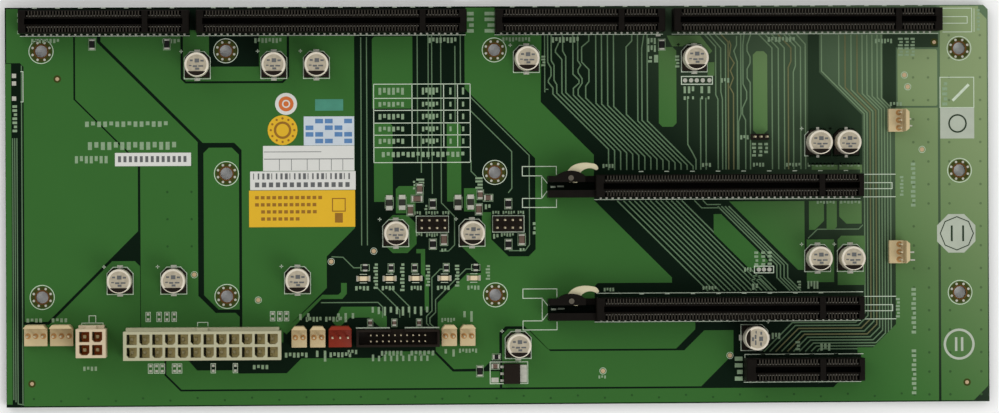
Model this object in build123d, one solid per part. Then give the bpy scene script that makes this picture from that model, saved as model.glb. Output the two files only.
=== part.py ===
from build123d import *
import os
from collections import namedtuple

# Passive backplane: a bare carrier board with card slots and power sockets.
# All sizes are in millimetres. X runs along the board, Y across it and Z up,
# away from the component side. The origin is the centre of the four corner
# mounting holes, on the underside of the board, which seats on standoffs.

# Board and its copper
BOARD_LEFT = -164.3
BOARD_RIGHT = 162.1
BOARD_BACK = 55.1
BOARD_FRONT = -77.0
BOARD_THICKNESS = 1.6
BOARD_CORNER = 1.5
COPPER_THICKNESS = 0.07
COPPER_MARGIN = 0.4
SEAT = BOARD_THICKNESS + COPPER_THICKNESS

# Mounting holes stand on a tenth-inch grid
INCH = 25.4
HOLE_DIAMETER = 3.96
HOLE_COLUMN_OUTER = 6.0 * INCH
HOLE_COLUMN_LEFT = -3.6 * INCH
HOLE_COLUMN_MIDDLE = -0.1 * INCH
HOLE_ROW = 1.6 * INCH
COPPER_HOLE_MARGIN = 0.6
HOLE_CLEARING_SIDES = 12

# Card slots
SLOT_WIDTH = 7.5
SLOT_HEIGHT = 11.25
SLOT_RIM = 0.35
CONTACT_PITCH = 1.0
KEY_STEP = 3.0
SHORT_CONTACTS = 11
CHANNEL_WIDTH = 1.9
CHANNEL_DEPTH = 7.8
CHANNEL_LIP = 0.25
CHANNEL_END = 0.9
TROUGH_INNER = 1.3
TROUGH_OUTER = 3.4
TROUGH_DEPTH = 5.2
KEY_WEB = 1.8
COPPER_BEFORE_SLOT = 0.9
COPPER_BEHIND_SLOT = 1.4
PEG_DIAMETER = 2.4
PEG_SIDES = 8
PEG_CLEARANCE = 0.05
PEG_REACH = 1.5
PEG_INSET = 3.2
SLOT_GRID = 0.8 * INCH

# Latch fork moulded on the end of the two latched slots, and its lever
FORK_LENGTH = 15.6
FORK_INNER_WALL = 1.4
FORK_INNER_THICKNESS = 2.05
FORK_OUTER_WALL = 1.25
FORK_OUTER_THICKNESS = 2.5
FORK_HEIGHT = 10.4
FORK_OUTER_HEIGHT = 9.0
FORK_SILL = 5.0
FORK_SILL_LENGTH = 3.7
FORK_COLUMN = 0.8
EAR_HALF_WIDTH = 4.7
EAR_RISE = 1.75
EAR_SHELF = 4.4
PIVOT_FROM_SLOT = 8.2
PIVOT_OFFSET = 2.75
LEVER_BOTTOM = 6.6
LEVER_THICKNESS = 1.8
LEVER_CLEARANCE = 0.15
LEVER_EYE = 1.75
LEVER_FOOT = 1.35
LEVER_REACH = 9.2
LEVER_SWEEP = 0.9
PIN_DIAMETER = 1.8
PIN_STANDS_UP = 0.4
PIN_CLEARANCE = 0.05

# Power sockets
POWER_PITCH = 4.2
POWER_CELL = 3.4
POWER_CELL_DEPTH = 9.4
POWER_CELL_KEY = 0.8
POWER_END_WALL = 0.7
POWER_SIDE_WALL = 0.45
POWER_HEIGHT = 12.8
POWER_ROW_PITCH = 4.3
POWER_LEDGE_DEPTH = 1.1
POWER_LEDGE_HEIGHT = 8.0
POWER_LATCH_WIDTH = 3.6
POWER_LATCH_HEIGHT = 11.0
POWER_PIN = 1.1
POWER_PIN_TOP = 9.6
TAIL_REACH = 1.3

# Friction-lock headers
HEADER_PITCH = 2.54
HEADER_DEPTH = 5.9
SLIM_HEADER_DEPTH = 4.8
HEADER_GAP = 1.05
HEADER_BASE_HEIGHT = 3.4
HEADER_TAB_THICKNESS = 1.2
HEADER_TAB_HEIGHT = 11.0
HEADER_TAB_SLOPE = 1.0
HEADER_PIN = 0.64
HEADER_PIN_TOP = 10.4
HEADER_PIN_FROM_FRONT = 3.3

# Pin strips and the shrouded header
STRIP_HEIGHT = 2.5
STRIP_PIN_TOP = 8.4
SHROUD_PITCH = 2.0
SHROUD_COLUMNS = 10
SHROUD_LENGTH = 27.6
SHROUD_WIDTH = 5.8
SHROUD_HEIGHT = 6.0
SHROUD_WALL = 0.8
SHROUD_FLOOR = 1.6
SHROUD_NOTCH = 4.6
SHROUD_PIN = 0.5
SHROUD_PIN_TOP = 5.4
SHROUD_TO_RED_HEADER = 1.49
SHROUD_TO_SWITCH_HEADER = 0.66
THREE_PIN_PITCH = 2.0

# Surface-mount capacitor
CAN_DIAMETER = 8.0
CAN_HEIGHT = 10.2
CAN_EDGE = 0.35
CAN_SIDES = 24
CAN_BASE_SIZE = 8.3
CAN_BASE_HEIGHT = 1.2
CAN_BASE_CORNER = 1.7
CAN_LEAD_WIDTH = 1.0
CAN_LEAD_REACH = 0.9
CAN_LEAD_HEIGHT = 0.3

# Chips, lamps and the regulator
CHIP_HEIGHT = 0.7
CHIP_END = 0.45
LAMP_LENGTH = 3.0
LAMP_WIDTH = 1.5
LAMP_HEIGHT = 1.1
LAMP_PAD = 0.8
REGULATOR_LENGTH = 5.4
REGULATOR_WIDTH = 6.7
REGULATOR_HEIGHT = 2.3
REGULATOR_TAB = 2.3
REGULATOR_TAB_WIDTH = 5.8
REGULATOR_TAB_HEIGHT = 0.6
REGULATOR_LEAD_PITCH = 2.28
REGULATOR_LEAD_WIDTH = 0.8
REGULATOR_LEAD_REACH = 1.1
REGULATOR_AT = (0.1, -66.8)

LABEL_THICKNESS = 0.1
LABEL_SIDES = 24

Slot = namedtuple("Slot", "name right length end_margin contacts y latched")

SLOT_1_Y = -4.75
SLOT_2_Y = SLOT_1_Y - 2 * SLOT_GRID
SLOT_3_Y = SLOT_1_Y - 3 * SLOT_GRID
BACK_ROW_FROM_EDGE = 5.0
BACK_ROW_Y = BOARD_BACK - BACK_ROW_FROM_EDGE
SLOTS = [
    Slot("back_slot_a_housing", 145.5, 89.0, 3.0, 82, BACK_ROW_Y, False),
    Slot("back_slot_b_housing", 53.6, 56.0, 3.0, 49, BACK_ROW_Y, False),
    Slot("back_slot_c_housing", -12.0, 89.0, 3.0, 82, BACK_ROW_Y, False),
    Slot("back_slot_d_housing", -103.3, 56.0, 3.0, 49, BACK_ROW_Y, False),
    Slot("card_slot_1_housing", 119.2, 88.8, 2.4, 82, SLOT_1_Y, True),
    Slot("card_slot_2_housing", 119.2, 88.8, 2.4, 82, SLOT_2_Y, True),
    Slot("card_slot_3_housing", 119.2, 39.2, 2.4, 32, SLOT_3_Y, False),
]

# Copper fields, each an outline of its own with bare gaps between them
COPPER_FIELDS = [
    # field on the left, with the two left mounting holes
    [(BOARD_LEFT + COPPER_MARGIN, BOARD_BACK - COPPER_MARGIN), (-160.0, BOARD_BACK - COPPER_MARGIN),
     (-160.0, 47.5), (-141.8, 47.5), (-141.8, 24.7), (-120.7, 3.6), (-120.7, -18.9), (-150.5, -48.7),
     (-158.2, -48.7), (-158.2, 35.6), (-159.4, 36.8), (BOARD_LEFT + COPPER_MARGIN, 36.8)],
    # field under the power sockets, the front strip and the field right of the card slots
    [(-158.5, -49.7), (-150.2, -49.7), (-129.3, -28.8), (-121.8, -28.8), (-120.1, -30.5),
     (-120.1, -52.0), (-112.2, -59.9), (-112.2, -66.7), (-106.9, -72.0), (109.9, -72.0),
     (111.9, -70.0), (118.0, -70.0), (118.0, -58.8), (123.2, -58.8), (130.9, -51.1),
     (130.9, 20.9), (145.2, 20.9), (145.2, BOARD_FRONT + COPPER_MARGIN),
     (-158.5, BOARD_FRONT + COPPER_MARGIN)],
    # slanted field between the first two gaps, running down to the front
    [(-141.2, 47.5), (-134.0, 47.5), (-134.0, 43.6), (-100.9, 10.5), (-100.9, -40.4),
     (-95.2, -46.1), (-88.6, -46.1), (-87.3, -47.4), (-87.3, -58.0), (-107.6, -58.0),
     (-101.4, -65.1), (-88.6, -65.1), (-87.6, -66.2), (-71.8, -66.2), (-66.9, -61.3),
     (-40.5, -61.3), (-38.4, -59.2), (-23.4, -59.2), (-16.8, -66.0), (-1.2, -66.0),
     (-1.2, -71.4), (-106.6, -71.4), (-111.6, -66.4), (-111.6, -59.6), (-119.9, -51.3),
     (-119.9, 3.5), (-141.2, 24.8)],
    # field around the inner left mounting holes
    [(-97.2, 8.6), (-89.6, 8.6), (-87.3, 6.3), (-87.3, -45.0), (-94.2, -45.0), (-99.0, -40.2),
     (-99.0, 6.8)],
    # field under the labels
    [(-132.8, 47.5), (-106.4, 47.5), (-106.4, 31.4), (-104.9, 29.9), (-72.6, 29.9), (-70.5, 32.0),
     (-70.5, 47.5), (-49.0, 47.5), (-49.0, -18.2), (-58.4, -27.6), (-58.4, -38.0),
     (-72.9, -52.5), (-72.9, -56.0), (-86.4, -56.0), (-86.4, 7.8), (-88.8, 10.2),
     (-99.2, 10.2), (-132.8, 43.8)],
    # pads of the first two capacitors
    [(-105.6, 47.5), (-97.0, 47.5), (-97.0, 35.4), (-80.5, 35.4), (-80.5, 47.5), (-71.3, 47.5),
     (-71.3, 32.2), (-72.9, 30.6), (-104.6, 30.6), (-105.6, 31.6)],
    # middle field, from the back edge to the front
    [(-12.4, BOARD_BACK - COPPER_MARGIN), (-2.1, BOARD_BACK - COPPER_MARGIN), (-2.1, 47.5),
     (13.2, 47.5), (12.8, 23.3), (30.4, 5.7), (30.4, -9.4), (54.5, -33.5), (56.2, -35.2),
     (56.2, -36.9), (31.5, -36.9), (30.6, -37.8), (30.6, -49.0), (63.9, -49.0), (63.9, -52.4),
     (57.5, -58.8), (14.8, -58.8), (7.1, -51.1), (0.8, -51.1), (-1.3, -53.2), (-1.3, -59.7),
     (-6.6, -65.0), (-16.4, -65.2), (-22.4, -59.2), (-22.4, -52.0), (-21.7, -51.0),
     (-21.7, -43.2), (-11.9, -33.4), (-7.3, -33.4), (-7.3, -30.9), (-13.4, -24.8), (-13.4, -22.0),
     (-6.9, -17.0), (-6.9, -13.2), (-3.8, -13.2), (-3.8, -22.2), (1.9, -27.9), (8.6, -27.9),
     (10.9, -25.6), (10.9, 4.6), (-12.4, 27.9)],
    # field at the voltage regulator
    [(0.6, -53.0), (1.6, -52.0), (8.4, -52.0), (15.6, -59.4), (60.2, -59.4), (66.9, -52.8),
     (76.6, -52.8), (76.6, -60.6), (65.8, -71.4), (-0.4, -71.4), (-0.4, -54.0)],
    # fields beside and below the drawn table
    [(-43.1, 44.4), (-42.3, 45.2), (-29.7, 45.2), (-29.7, 22.1), (-30.5, 21.3), (-43.1, 21.3)],
    [(-42.6, 16.4), (-37.2, 16.4), (-36.4, 15.6), (-36.4, -9.6), (-42.6, -9.6)],
    [(-18.4, 16.3), (-14.5, 16.3), (-13.7, 15.5), (-13.7, -9.6), (-18.4, -9.6)],
    [(-35.4, -5.4), (-34.4, -4.4), (-28.9, -4.4), (-28.9, -13.4), (-35.4, -13.4)],
    [(-12.8, -5.2), (-8.6, -5.2), (-8.6, -12.9), (-12.8, -12.9)],
    # fields under and around the card slots
    [(75.4, -10.0), (100.5, -10.0), (100.5, -32.9), (98.3, -32.9)],
    [(70.2, -14.2), (72.7, -14.2), (88.4, -29.9), (86.0, -32.3), (81.9, -32.3), (70.2, -20.6)],
    [(102.0, -10.0), (107.0, -10.0), (107.0, -16.6), (104.0, -19.6), (102.0, -19.6)],
    [(107.9, -10.0), (111.3, -10.0), (111.3, -18.6), (110.4, -19.5), (107.9, -19.5)],
    [(112.1, -10.0), (119.6, -10.0), (119.6, -17.6), (114.5, -17.6), (112.1, -15.2)],
    [(101.2, -22.8), (110.3, -22.8), (110.3, -37.0), (101.2, -37.0)],
    [(111.5, -22.9), (112.8, -21.6), (120.6, -21.6), (120.6, -38.0), (111.5, -38.0)],
    [(103.0, 4.3), (111.6, 4.3), (111.6, -0.6), (103.0, -0.6)],
    [(112.2, 5.0), (119.8, 5.0), (119.8, -0.6), (112.2, -0.6)],
    # fields in the right corner
    [(131.8, 40.4), (144.6, 40.4), (145.1, 39.9), (145.1, 21.9), (144.7, 21.5), (131.8, 21.5)],
    [(146.0, BOARD_BACK - COPPER_MARGIN), (158.9, BOARD_BACK - COPPER_MARGIN), (158.9, 53.2),
     (BOARD_RIGHT - COPPER_MARGIN, 50.4), (BOARD_RIGHT - COPPER_MARGIN, -71.8),
     (156.9, BOARD_FRONT + COPPER_MARGIN), (146.0, BOARD_FRONT + COPPER_MARGIN)],
]

# Two long copper fields with cut corners: left, right, front and back edges
LONG_FIELDS = [(52.1, 58.0, 14.9, 41.4), (83.5, 88.3, 12.4, 39.9)]
LONG_FIELD_CORNER = 1.2

POWER_MAIN_AT = (-99.4, -56.6)
POWER_MAIN_COLUMNS = 12
POWER_EXTRA_AT = (-135.9, -55.6)
POWER_EXTRA_COLUMNS = 2

# Friction-lock headers: name, centre, pins, turn about Z and depth of the base
Header = namedtuple("Header", "name x y pins turn depth")
FAN_HEADERS = [
    Header("fan_header_1", -154.4, -53.7, 3, 0, HEADER_DEPTH),
    Header("fan_header_2", -145.9, -53.7, 3, 0, HEADER_DEPTH),
    Header("fan_header_3", 130.75, 16.7, 3, -90, SLIM_HEADER_DEPTH),
    Header("fan_header_4", 130.75, -27.0, 3, -90, SLIM_HEADER_DEPTH),
]

# The shrouded header, and the small headers in line with its two ends
SHROUD_AT = (-35.0, -54.7)
LEFT_HEADERS_Y = -54.65
RIGHT_HEADERS_Y = -54.45
RED_HEADER_X = SHROUD_AT[0] - SHROUD_LENGTH / 2 - SHROUD_TO_RED_HEADER - 1.5 * HEADER_PITCH
SWITCH_2_X = RED_HEADER_X - 2.5 * HEADER_PITCH - HEADER_GAP
SWITCH_3_X = SHROUD_AT[0] + SHROUD_LENGTH / 2 + SHROUD_TO_SWITCH_HEADER + HEADER_PITCH
SWITCH_STEP = 2 * HEADER_PITCH + HEADER_GAP
SWITCH_HEADERS = [
    Header("switch_header_1", SWITCH_2_X - SWITCH_STEP, LEFT_HEADERS_Y, 2, 0, HEADER_DEPTH),
    Header("switch_header_2", SWITCH_2_X, LEFT_HEADERS_Y, 2, 0, HEADER_DEPTH),
    Header("red_header", RED_HEADER_X, LEFT_HEADERS_Y, 3, 0, HEADER_DEPTH),
    Header("switch_header_3", SWITCH_3_X, RIGHT_HEADERS_Y, 2, 0, HEADER_DEPTH),
    Header("switch_header_4", SWITCH_3_X + SWITCH_STEP, RIGHT_HEADERS_Y, 2, 0, HEADER_DEPTH),
]

# Pin strips: name, centre, columns, rows and pitch
Strip = namedtuple("Strip", "name x y columns rows pitch")
STRIPS = [
    Strip("eight_pin_strip_1", -23.2, -17.05, 4, 2, HEADER_PITCH),
    Strip("eight_pin_strip_2", 1.8, -17.05, 4, 2, HEADER_PITCH),
    Strip("three_pin_strip", 85.5, 11.4, 3, 1, THREE_PIN_PITCH),
]

# Capacitor centres, then the one that lies a quarter turn round between the last two slots
CAPACITOR_BEHIND_SLOT = 16.4
CAPACITORS = [
    (-100.9, 35.9), (-75.6, 35.9), (-61.5, 35.9), (8.1, 37.6), (64.0, 37.6),
    (105.0, 9.5), (114.5, 9.5), (-35.5, -20.0), (-10.2, -20.0),
    (104.8, SLOT_2_Y + CAPACITOR_BEHIND_SLOT), (115.7, SLOT_2_Y + CAPACITOR_BEHIND_SLOT),
    (-126.7, -35.3), (-109.0, -35.3), (-68.1, -35.4), (4.95, -57.3),
]
CAPACITOR_TURNED = (83.6, (SLOT_2_Y + SLOT_3_Y) / 2 + 0.25)

# Chips: centre x, centre y, size along x, size along y
CHIP_RESISTORS = [
    (-135.6, 42.9, 1.6, 3.2), (-110.9, 42.9, 1.6, 3.2), (53.2, 42.2, 1.6, 3.2),
    (-45.7, -31.4, 1.3, 2.2), (-37.1, -31.5, 1.3, 2.2), (-29.3, -31.5, 1.3, 2.2),
    (-18.8, -31.5, 1.3, 2.2), (-9.0, -31.5, 1.3, 2.2),
    (-7.8, -65.9, 1.6, 3.2), (-2.3, -61.2, 2.2, 1.3),
]
CHIP_CAPACITORS = [
    (-28.4, -8.6, 3.4, 1.7), (-27.5, -5.3, 1.7, 3.0), (-30.6, -12.4, 1.7, 3.2),
    (-19.5, -22.2, 1.8, 3.4), (-7.9, -12.2, 1.7, 3.2), (-4.8, -8.4, 2.6, 1.6),
    (-7.4, -7.4, 1.5, 2.6), (6.3, -22.3, 1.8, 3.4),
    (-44.1, -49.7, 1.1, 2.0), (-36.1, -49.7, 1.1, 2.0), (-27.9, -49.7, 1.1, 2.0),
    (-2.7, -64.3, 2.4, 1.4),
]
FUSES = [(-37.6, -9.9, 2.0, 4.8), (-33.3, -9.8, 2.0, 4.8), (-14.8, -9.9, 2.0, 4.8), (-10.6, -9.8, 2.0, 4.8)]
CHIP_NETWORKS = [(-23.2, -10.4, 1.7, 3.0), (-23.2, -23.7, 1.7, 3.0), (1.9, -10.4, 1.7, 3.0), (1.9, -23.9, 1.7, 3.0)]
NETWORK_LEAD = 0.5
LAMPS = [(-46.3, -35.0), (-37.6, -35.0), (-29.0, -35.0), (-19.4, -35.0), (-9.7, -35.0)]

# Stuck labels by colour: left, front, right and back edges, then round ones by centre and radius
RECTANGLE_LABELS = {
    "blue_label": [(-65.8, 9.2, -49.1, 18.8)],
    "white_labels": [(-79.3, 0.8, -49.1, 9.1), (-83.6, -5.5, -48.7, 0.65), (-128.2, 2.6, -103.1, 7.0)],
    "yellow_labels": [(-84.0, -17.8, -48.9, -5.65)],
}
ROUND_LABELS = {"blue_label": [], "white_labels": [(-71.6, 23.0, 3.65)], "yellow_labels": [(-72.8, 14.3, 4.95)]}


def block(x0, x1, y0, y1, z0, z1):
    """A straight-sided block between two opposite corners."""
    return Pos((x0 + x1) / 2, (y0 + y1) / 2, (z0 + z1) / 2) * Box(x1 - x0, y1 - y0, z1 - z0)


def rod(x, y, radius, z0, z1):
    """An upright cylinder between two heights."""
    return Pos(x, y, (z0 + z1) / 2) * Cylinder(radius, z1 - z0)


def slab(points, z0, z1):
    """A flat plate with the outline of the given points."""
    return Pos(0, 0, z0) * extrude(make_face(Polyline(*points, close=True)), z1 - z0)


def prism(x, y, radius, sides, z0, z1):
    """An upright post with flat sides, given by the circle through its corners."""
    return Pos(x, y, z0) * extrude(RegularPolygon(radius, sides), z1 - z0)


def save(name, solids):
    """Write one sub-part, which may be a group of separate solids."""
    shape = solids if not isinstance(solids, list) else Compound(children=solids)
    export_step(shape, f"parts/{name}.step")


def mounting_holes():
    """The hole centres: three rows by four columns, without the middle left one."""
    columns = [-HOLE_COLUMN_OUTER, HOLE_COLUMN_LEFT, HOLE_COLUMN_MIDDLE, HOLE_COLUMN_OUTER]
    rows = [-HOLE_ROW, 0.0, HOLE_ROW]
    return [(x, y) for x in columns for y in rows if (x, y) != (-HOLE_COLUMN_OUTER, 0.0)]


def peg_places(slot):
    """A slot's two pegs go through the board near its ends."""
    return [(slot.right - slot.length + PEG_INSET, slot.y), (slot.right - PEG_INSET, slot.y)]


def board():
    """Glass-fibre board with its mounting holes and the holes for the slots' pegs."""
    plate = slab([
        (BOARD_LEFT, BOARD_FRONT), (BOARD_RIGHT, BOARD_FRONT),
        (BOARD_RIGHT, BOARD_BACK - BOARD_CORNER), (BOARD_RIGHT - BOARD_CORNER, BOARD_BACK),
        (BOARD_LEFT, BOARD_BACK),
    ], 0, BOARD_THICKNESS)
    for x, y in mounting_holes():
        plate -= rod(x, y, HOLE_DIAMETER / 2, -1, BOARD_THICKNESS + 1)
    for slot in SLOTS:
        for x, y in peg_places(slot):
            plate -= prism(x, y, PEG_DIAMETER / 2 + PEG_CLEARANCE, PEG_SIDES, -1, BOARD_THICKNESS + 1)
    return plate


def slot_footprint(slot):
    """The ground under a slot and close around it, which the copper fields leave bare."""
    half = SLOT_WIDTH / 2
    return block(slot.right - slot.length, slot.right,
                 slot.y - half - COPPER_BEFORE_SLOT, slot.y + half + COPPER_BEHIND_SLOT, 0, SEAT + 1)


def fork_footprint(slot):
    """The ground under a latch fork, which the copper fields leave bare too."""
    slot_left = slot.right - slot.length
    return block(slot_left - FORK_LENGTH, slot_left, slot.y - FORK_OUTER_WALL - FORK_OUTER_THICKNESS,
                 slot.y + FORK_INNER_WALL + FORK_INNER_THICKNESS, 0, SEAT + 1)


def long_field(left, right, front, back):
    """Outline of a long copper field with its four corners cut off."""
    cut = LONG_FIELD_CORNER
    return [(left, front + cut), (left + cut, front), (right - cut, front), (right, front + cut),
            (right, back - cut), (right - cut, back), (left + cut, back), (left, back - cut)]


def copper_fields():
    """Wide copper areas under the green mask, raised by their own thickness."""
    outlines = COPPER_FIELDS + [long_field(*field) for field in LONG_FIELDS]
    radius = HOLE_DIAMETER / 2 + COPPER_HOLE_MARGIN
    clearings = [prism(x, y, radius, HOLE_CLEARING_SIDES, 0, SEAT + 1) for x, y in mounting_holes()]
    cutters = clearings + [slot_footprint(slot) for slot in SLOTS]
    cutters += [fork_footprint(slot) for slot in SLOTS if slot.latched]
    solids = []
    for outline in outlines:
        solids += (slab(outline, BOARD_THICKNESS, SEAT) - cutters).solids()
    return solids


def slot_sections(slot):
    """The short and the long run of contacts, each from its left to its right contact centre."""
    right = slot.right - slot.end_margin
    short = (right - (SHORT_CONTACTS - 1) * CONTACT_PITCH, right)
    after_key = short[0] - KEY_STEP
    return short, (after_key - (slot.contacts - SHORT_CONTACTS - 1) * CONTACT_PITCH, after_key)


def channel_cutter(x0, x1, y):
    """The card channel of one run, with slanted lips that lead the card in."""
    half = CHANNEL_WIDTH / 2
    top = SEAT + SLOT_HEIGHT
    points = [
        (-half - CHANNEL_LIP, top), (-half, top - CHANNEL_LIP), (-half, top - CHANNEL_DEPTH),
        (half, top - CHANNEL_DEPTH), (half, top - CHANNEL_LIP), (half + CHANNEL_LIP, top),
    ]
    profile = Plane.YZ * make_face(Polyline(*points, close=True))
    return Pos(x0, y, 0) * extrude(profile, x1 - x0)


def slot_peg(x, y):
    """One peg that holds the slot in the board."""
    return prism(x, y, PEG_DIAMETER / 2, PEG_SIDES, -PEG_REACH, SEAT)


def latch_pivot(slot):
    """Where the latch lever turns."""
    return slot.right - slot.length - PIVOT_FROM_SLOT, slot.y + PIVOT_OFFSET


def ear_outline(slot):
    """Arched plan of the ear that carries the lever's pivot."""
    x, _ = latch_pivot(slot)
    wall = slot.y + FORK_INNER_WALL + FORK_INNER_THICKNESS
    arch = ThreePointArc((x - EAR_HALF_WIDTH, wall), (x, wall + EAR_RISE), (x + EAR_HALF_WIDTH, wall))
    base = Polyline(
        (x + EAR_HALF_WIDTH, wall), (x + EAR_HALF_WIDTH, slot.y + FORK_INNER_WALL),
        (x - EAR_HALF_WIDTH, slot.y + FORK_INNER_WALL), (x - EAR_HALF_WIDTH, wall))
    return make_face(arch + base)


def latch_fork(slot):
    """Two walls that carry on from the slot's sides, with an ear and a shelf for the lever."""
    slot_left = slot.right - slot.length
    left = slot_left - FORK_LENGTH
    inner = slot.y + FORK_INNER_WALL
    outer = slot.y - FORK_OUTER_WALL
    x, y = latch_pivot(slot)
    fork = block(left, slot_left, inner, inner + FORK_INNER_THICKNESS, SEAT, SEAT + FORK_SILL)
    ear_right = slot_left - FORK_SILL_LENGTH
    fork += block(left, ear_right, inner, inner + FORK_INNER_THICKNESS, SEAT, SEAT + FORK_HEIGHT)
    fork += block(left, slot_left, outer - FORK_OUTER_THICKNESS, outer, SEAT, SEAT + FORK_OUTER_HEIGHT)
    fork += Pos(0, 0, SEAT + EAR_SHELF) * extrude(ear_outline(slot), FORK_HEIGHT - EAR_SHELF)
    gap_bottom = SEAT + LEVER_BOTTOM - LEVER_CLEARANCE
    gap_top = SEAT + LEVER_BOTTOM + LEVER_THICKNESS + LEVER_CLEARANCE
    gap_left = x - LEVER_EYE - LEVER_SWEEP
    outside = inner + FORK_INNER_THICKNESS
    fork -= block(gap_left, ear_right - FORK_COLUMN, inner - 1, outside + EAR_RISE + 1, gap_bottom, gap_top)
    fork -= block(gap_left, ear_right + 1, outside, outside + EAR_RISE + 1, gap_bottom, gap_top)
    return fork - rod(x, y, PIN_DIAMETER / 2, SEAT + EAR_SHELF, SEAT + FORK_HEIGHT + 1)


def slot_housing(slot):
    """Moulded card slot: rim, keyed card channel, contact troughs and pegs."""
    left = slot.right - slot.length
    half = SLOT_WIDTH / 2
    top = SEAT + SLOT_HEIGHT
    body = block(left, slot.right, slot.y - half, slot.y + half, SEAT, top)
    body = chamfer(body.edges().group_by(Axis.Z)[-1], SLOT_RIM)
    short, long = slot_sections(slot)
    key = (short[0] + long[1]) / 2
    body -= channel_cutter(key + KEY_WEB / 2, short[1] + CHANNEL_END, slot.y)
    body -= channel_cutter(long[0] - CHANNEL_END, key - KEY_WEB / 2, slot.y)
    margin = CONTACT_PITCH / 2
    for first, last in (short, long):
        for side in (-1, 1):
            y0, y1 = sorted((slot.y + side * TROUGH_INNER, slot.y + side * TROUGH_OUTER))
            body -= block(first - margin, last + margin, y0, y1, top - TROUGH_DEPTH, top + 1)
    for x, y in peg_places(slot):
        body += slot_peg(x, y)
    if slot.latched:
        body += latch_fork(slot)
    return body


def latch_lever(slot):
    """Curved lever with its eye, its finger end and the tooth that holds a card's hook."""
    x, y = latch_pivot(slot)

    def at(dx, dy):
        return x + dx, y + dy

    outline = [
        ThreePointArc(at(-LEVER_EYE, 0.2), at(-0.1, 3.4), at(2.9, 4.85)),
        ThreePointArc(at(2.9, 4.85), at(5.0, 5.05), at(7.0, 4.8)),
        ThreePointArc(at(7.0, 4.8), at(8.7, 4.1), at(LEVER_REACH, 3.1)),
        ThreePointArc(at(LEVER_REACH, 3.1), at(8.9, 2.65), at(8.3, 2.55)),
        ThreePointArc(at(8.3, 2.55), at(6.2, 3.15), at(3.7, 2.2)),
        Polyline(at(3.7, 2.2), at(2.3, 0.4), at(2.7, -1.2), at(1.9, -1.6), at(0.2, -LEVER_FOOT)),
        ThreePointArc(at(0.2, -LEVER_FOOT), at(-1.25, -0.95), at(-LEVER_EYE, 0.2)),
    ]
    lever = Pos(0, 0, SEAT + LEVER_BOTTOM) * extrude(make_face(Curve() + outline), LEVER_THICKNESS)
    return lever - rod(x, y, PIN_DIAMETER / 2 + PIN_CLEARANCE, SEAT, SEAT + FORK_HEIGHT)


def latch_pin(slot):
    """Pin that the lever turns on, pressed into the ear."""
    x, y = latch_pivot(slot)
    return rod(x, y, PIN_DIAMETER / 2, SEAT + EAR_SHELF, SEAT + FORK_HEIGHT + PIN_STANDS_UP)


def power_cells(at, columns):
    """Centres of a power socket's cells, and whether the cell has keyed corners."""
    cells = []
    for column in range(columns):
        x = at[0] + (column - (columns - 1) / 2) * POWER_PITCH
        for row in range(2):
            y = at[1] + (0.5 - row) * POWER_ROW_PITCH
            cells.append((x, y, (column + row) % 2 == 1))
    return cells


def power_housing(at, columns):
    """Power socket: two rows of open cells, a ledge behind them and the latch bar."""
    half_x = columns * POWER_PITCH / 2 + POWER_END_WALL
    half_y = POWER_ROW_PITCH + POWER_SIDE_WALL
    top = SEAT + POWER_HEIGHT
    body = block(at[0] - half_x, at[0] + half_x, at[1] - half_y, at[1] + half_y, SEAT, top)
    back = at[1] + half_y
    ledge_half = half_x - POWER_END_WALL
    body += block(at[0] - ledge_half, at[0] + ledge_half, back, back + POWER_LEDGE_DEPTH,
                  SEAT, SEAT + POWER_LEDGE_HEIGHT)
    latch = POWER_LATCH_WIDTH / 2
    body += block(at[0] - latch, at[0] + latch, back, back + POWER_LEDGE_DEPTH,
                  SEAT, SEAT + POWER_LATCH_HEIGHT)
    half = POWER_CELL / 2
    for x, y, keyed in power_cells(at, columns):
        key = POWER_CELL_KEY
        points = [(x - half, y + half), (x + half, y + half), (x + half, y - half), (x - half, y - half)]
        if keyed:
            points[2:] = [(x + half, y - half + key), (x + half - key, y - half),
                          (x - half + key, y - half), (x - half, y - half + key)]
        body -= slab(points, top - POWER_CELL_DEPTH, top + 1)
    return body


def power_pins(at, columns):
    """One square pin in each cell, through the board."""
    half = POWER_PIN / 2
    return [block(x - half, x + half, y - half, y + half, -TAIL_REACH, SEAT + POWER_PIN_TOP)
            for x, y, _ in power_cells(at, columns)]


def header_housing(header):
    """Friction-lock header: a low base with a tall sloping-cornered tab behind the pins."""
    width = header.pins * HEADER_PITCH
    half = width / 2
    front = -header.depth / 2
    back = header.depth / 2
    base = block(-half, half, front, back, SEAT, SEAT + HEADER_BASE_HEIGHT)
    tab = slab([
        (-half, back), (half, back), (half - HEADER_TAB_SLOPE, back + HEADER_TAB_THICKNESS),
        (-half + HEADER_TAB_SLOPE, back + HEADER_TAB_THICKNESS),
    ], SEAT, SEAT + HEADER_TAB_HEIGHT)
    return Pos(header.x, header.y) * Rot(0, 0, header.turn) * (base + tab)


def header_pins(headers):
    """Square pins of the friction-lock headers, through the board."""
    half = HEADER_PIN / 2
    pins = []
    for header in headers:
        for index in range(header.pins):
            x = (index - (header.pins - 1) / 2) * HEADER_PITCH
            y = -header.depth / 2 + HEADER_PIN_FROM_FRONT
            pin = block(x - half, x + half, y - half, y + half, -TAIL_REACH, SEAT + HEADER_PIN_TOP)
            pins.append(Pos(header.x, header.y) * Rot(0, 0, header.turn) * pin)
    return pins


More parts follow.
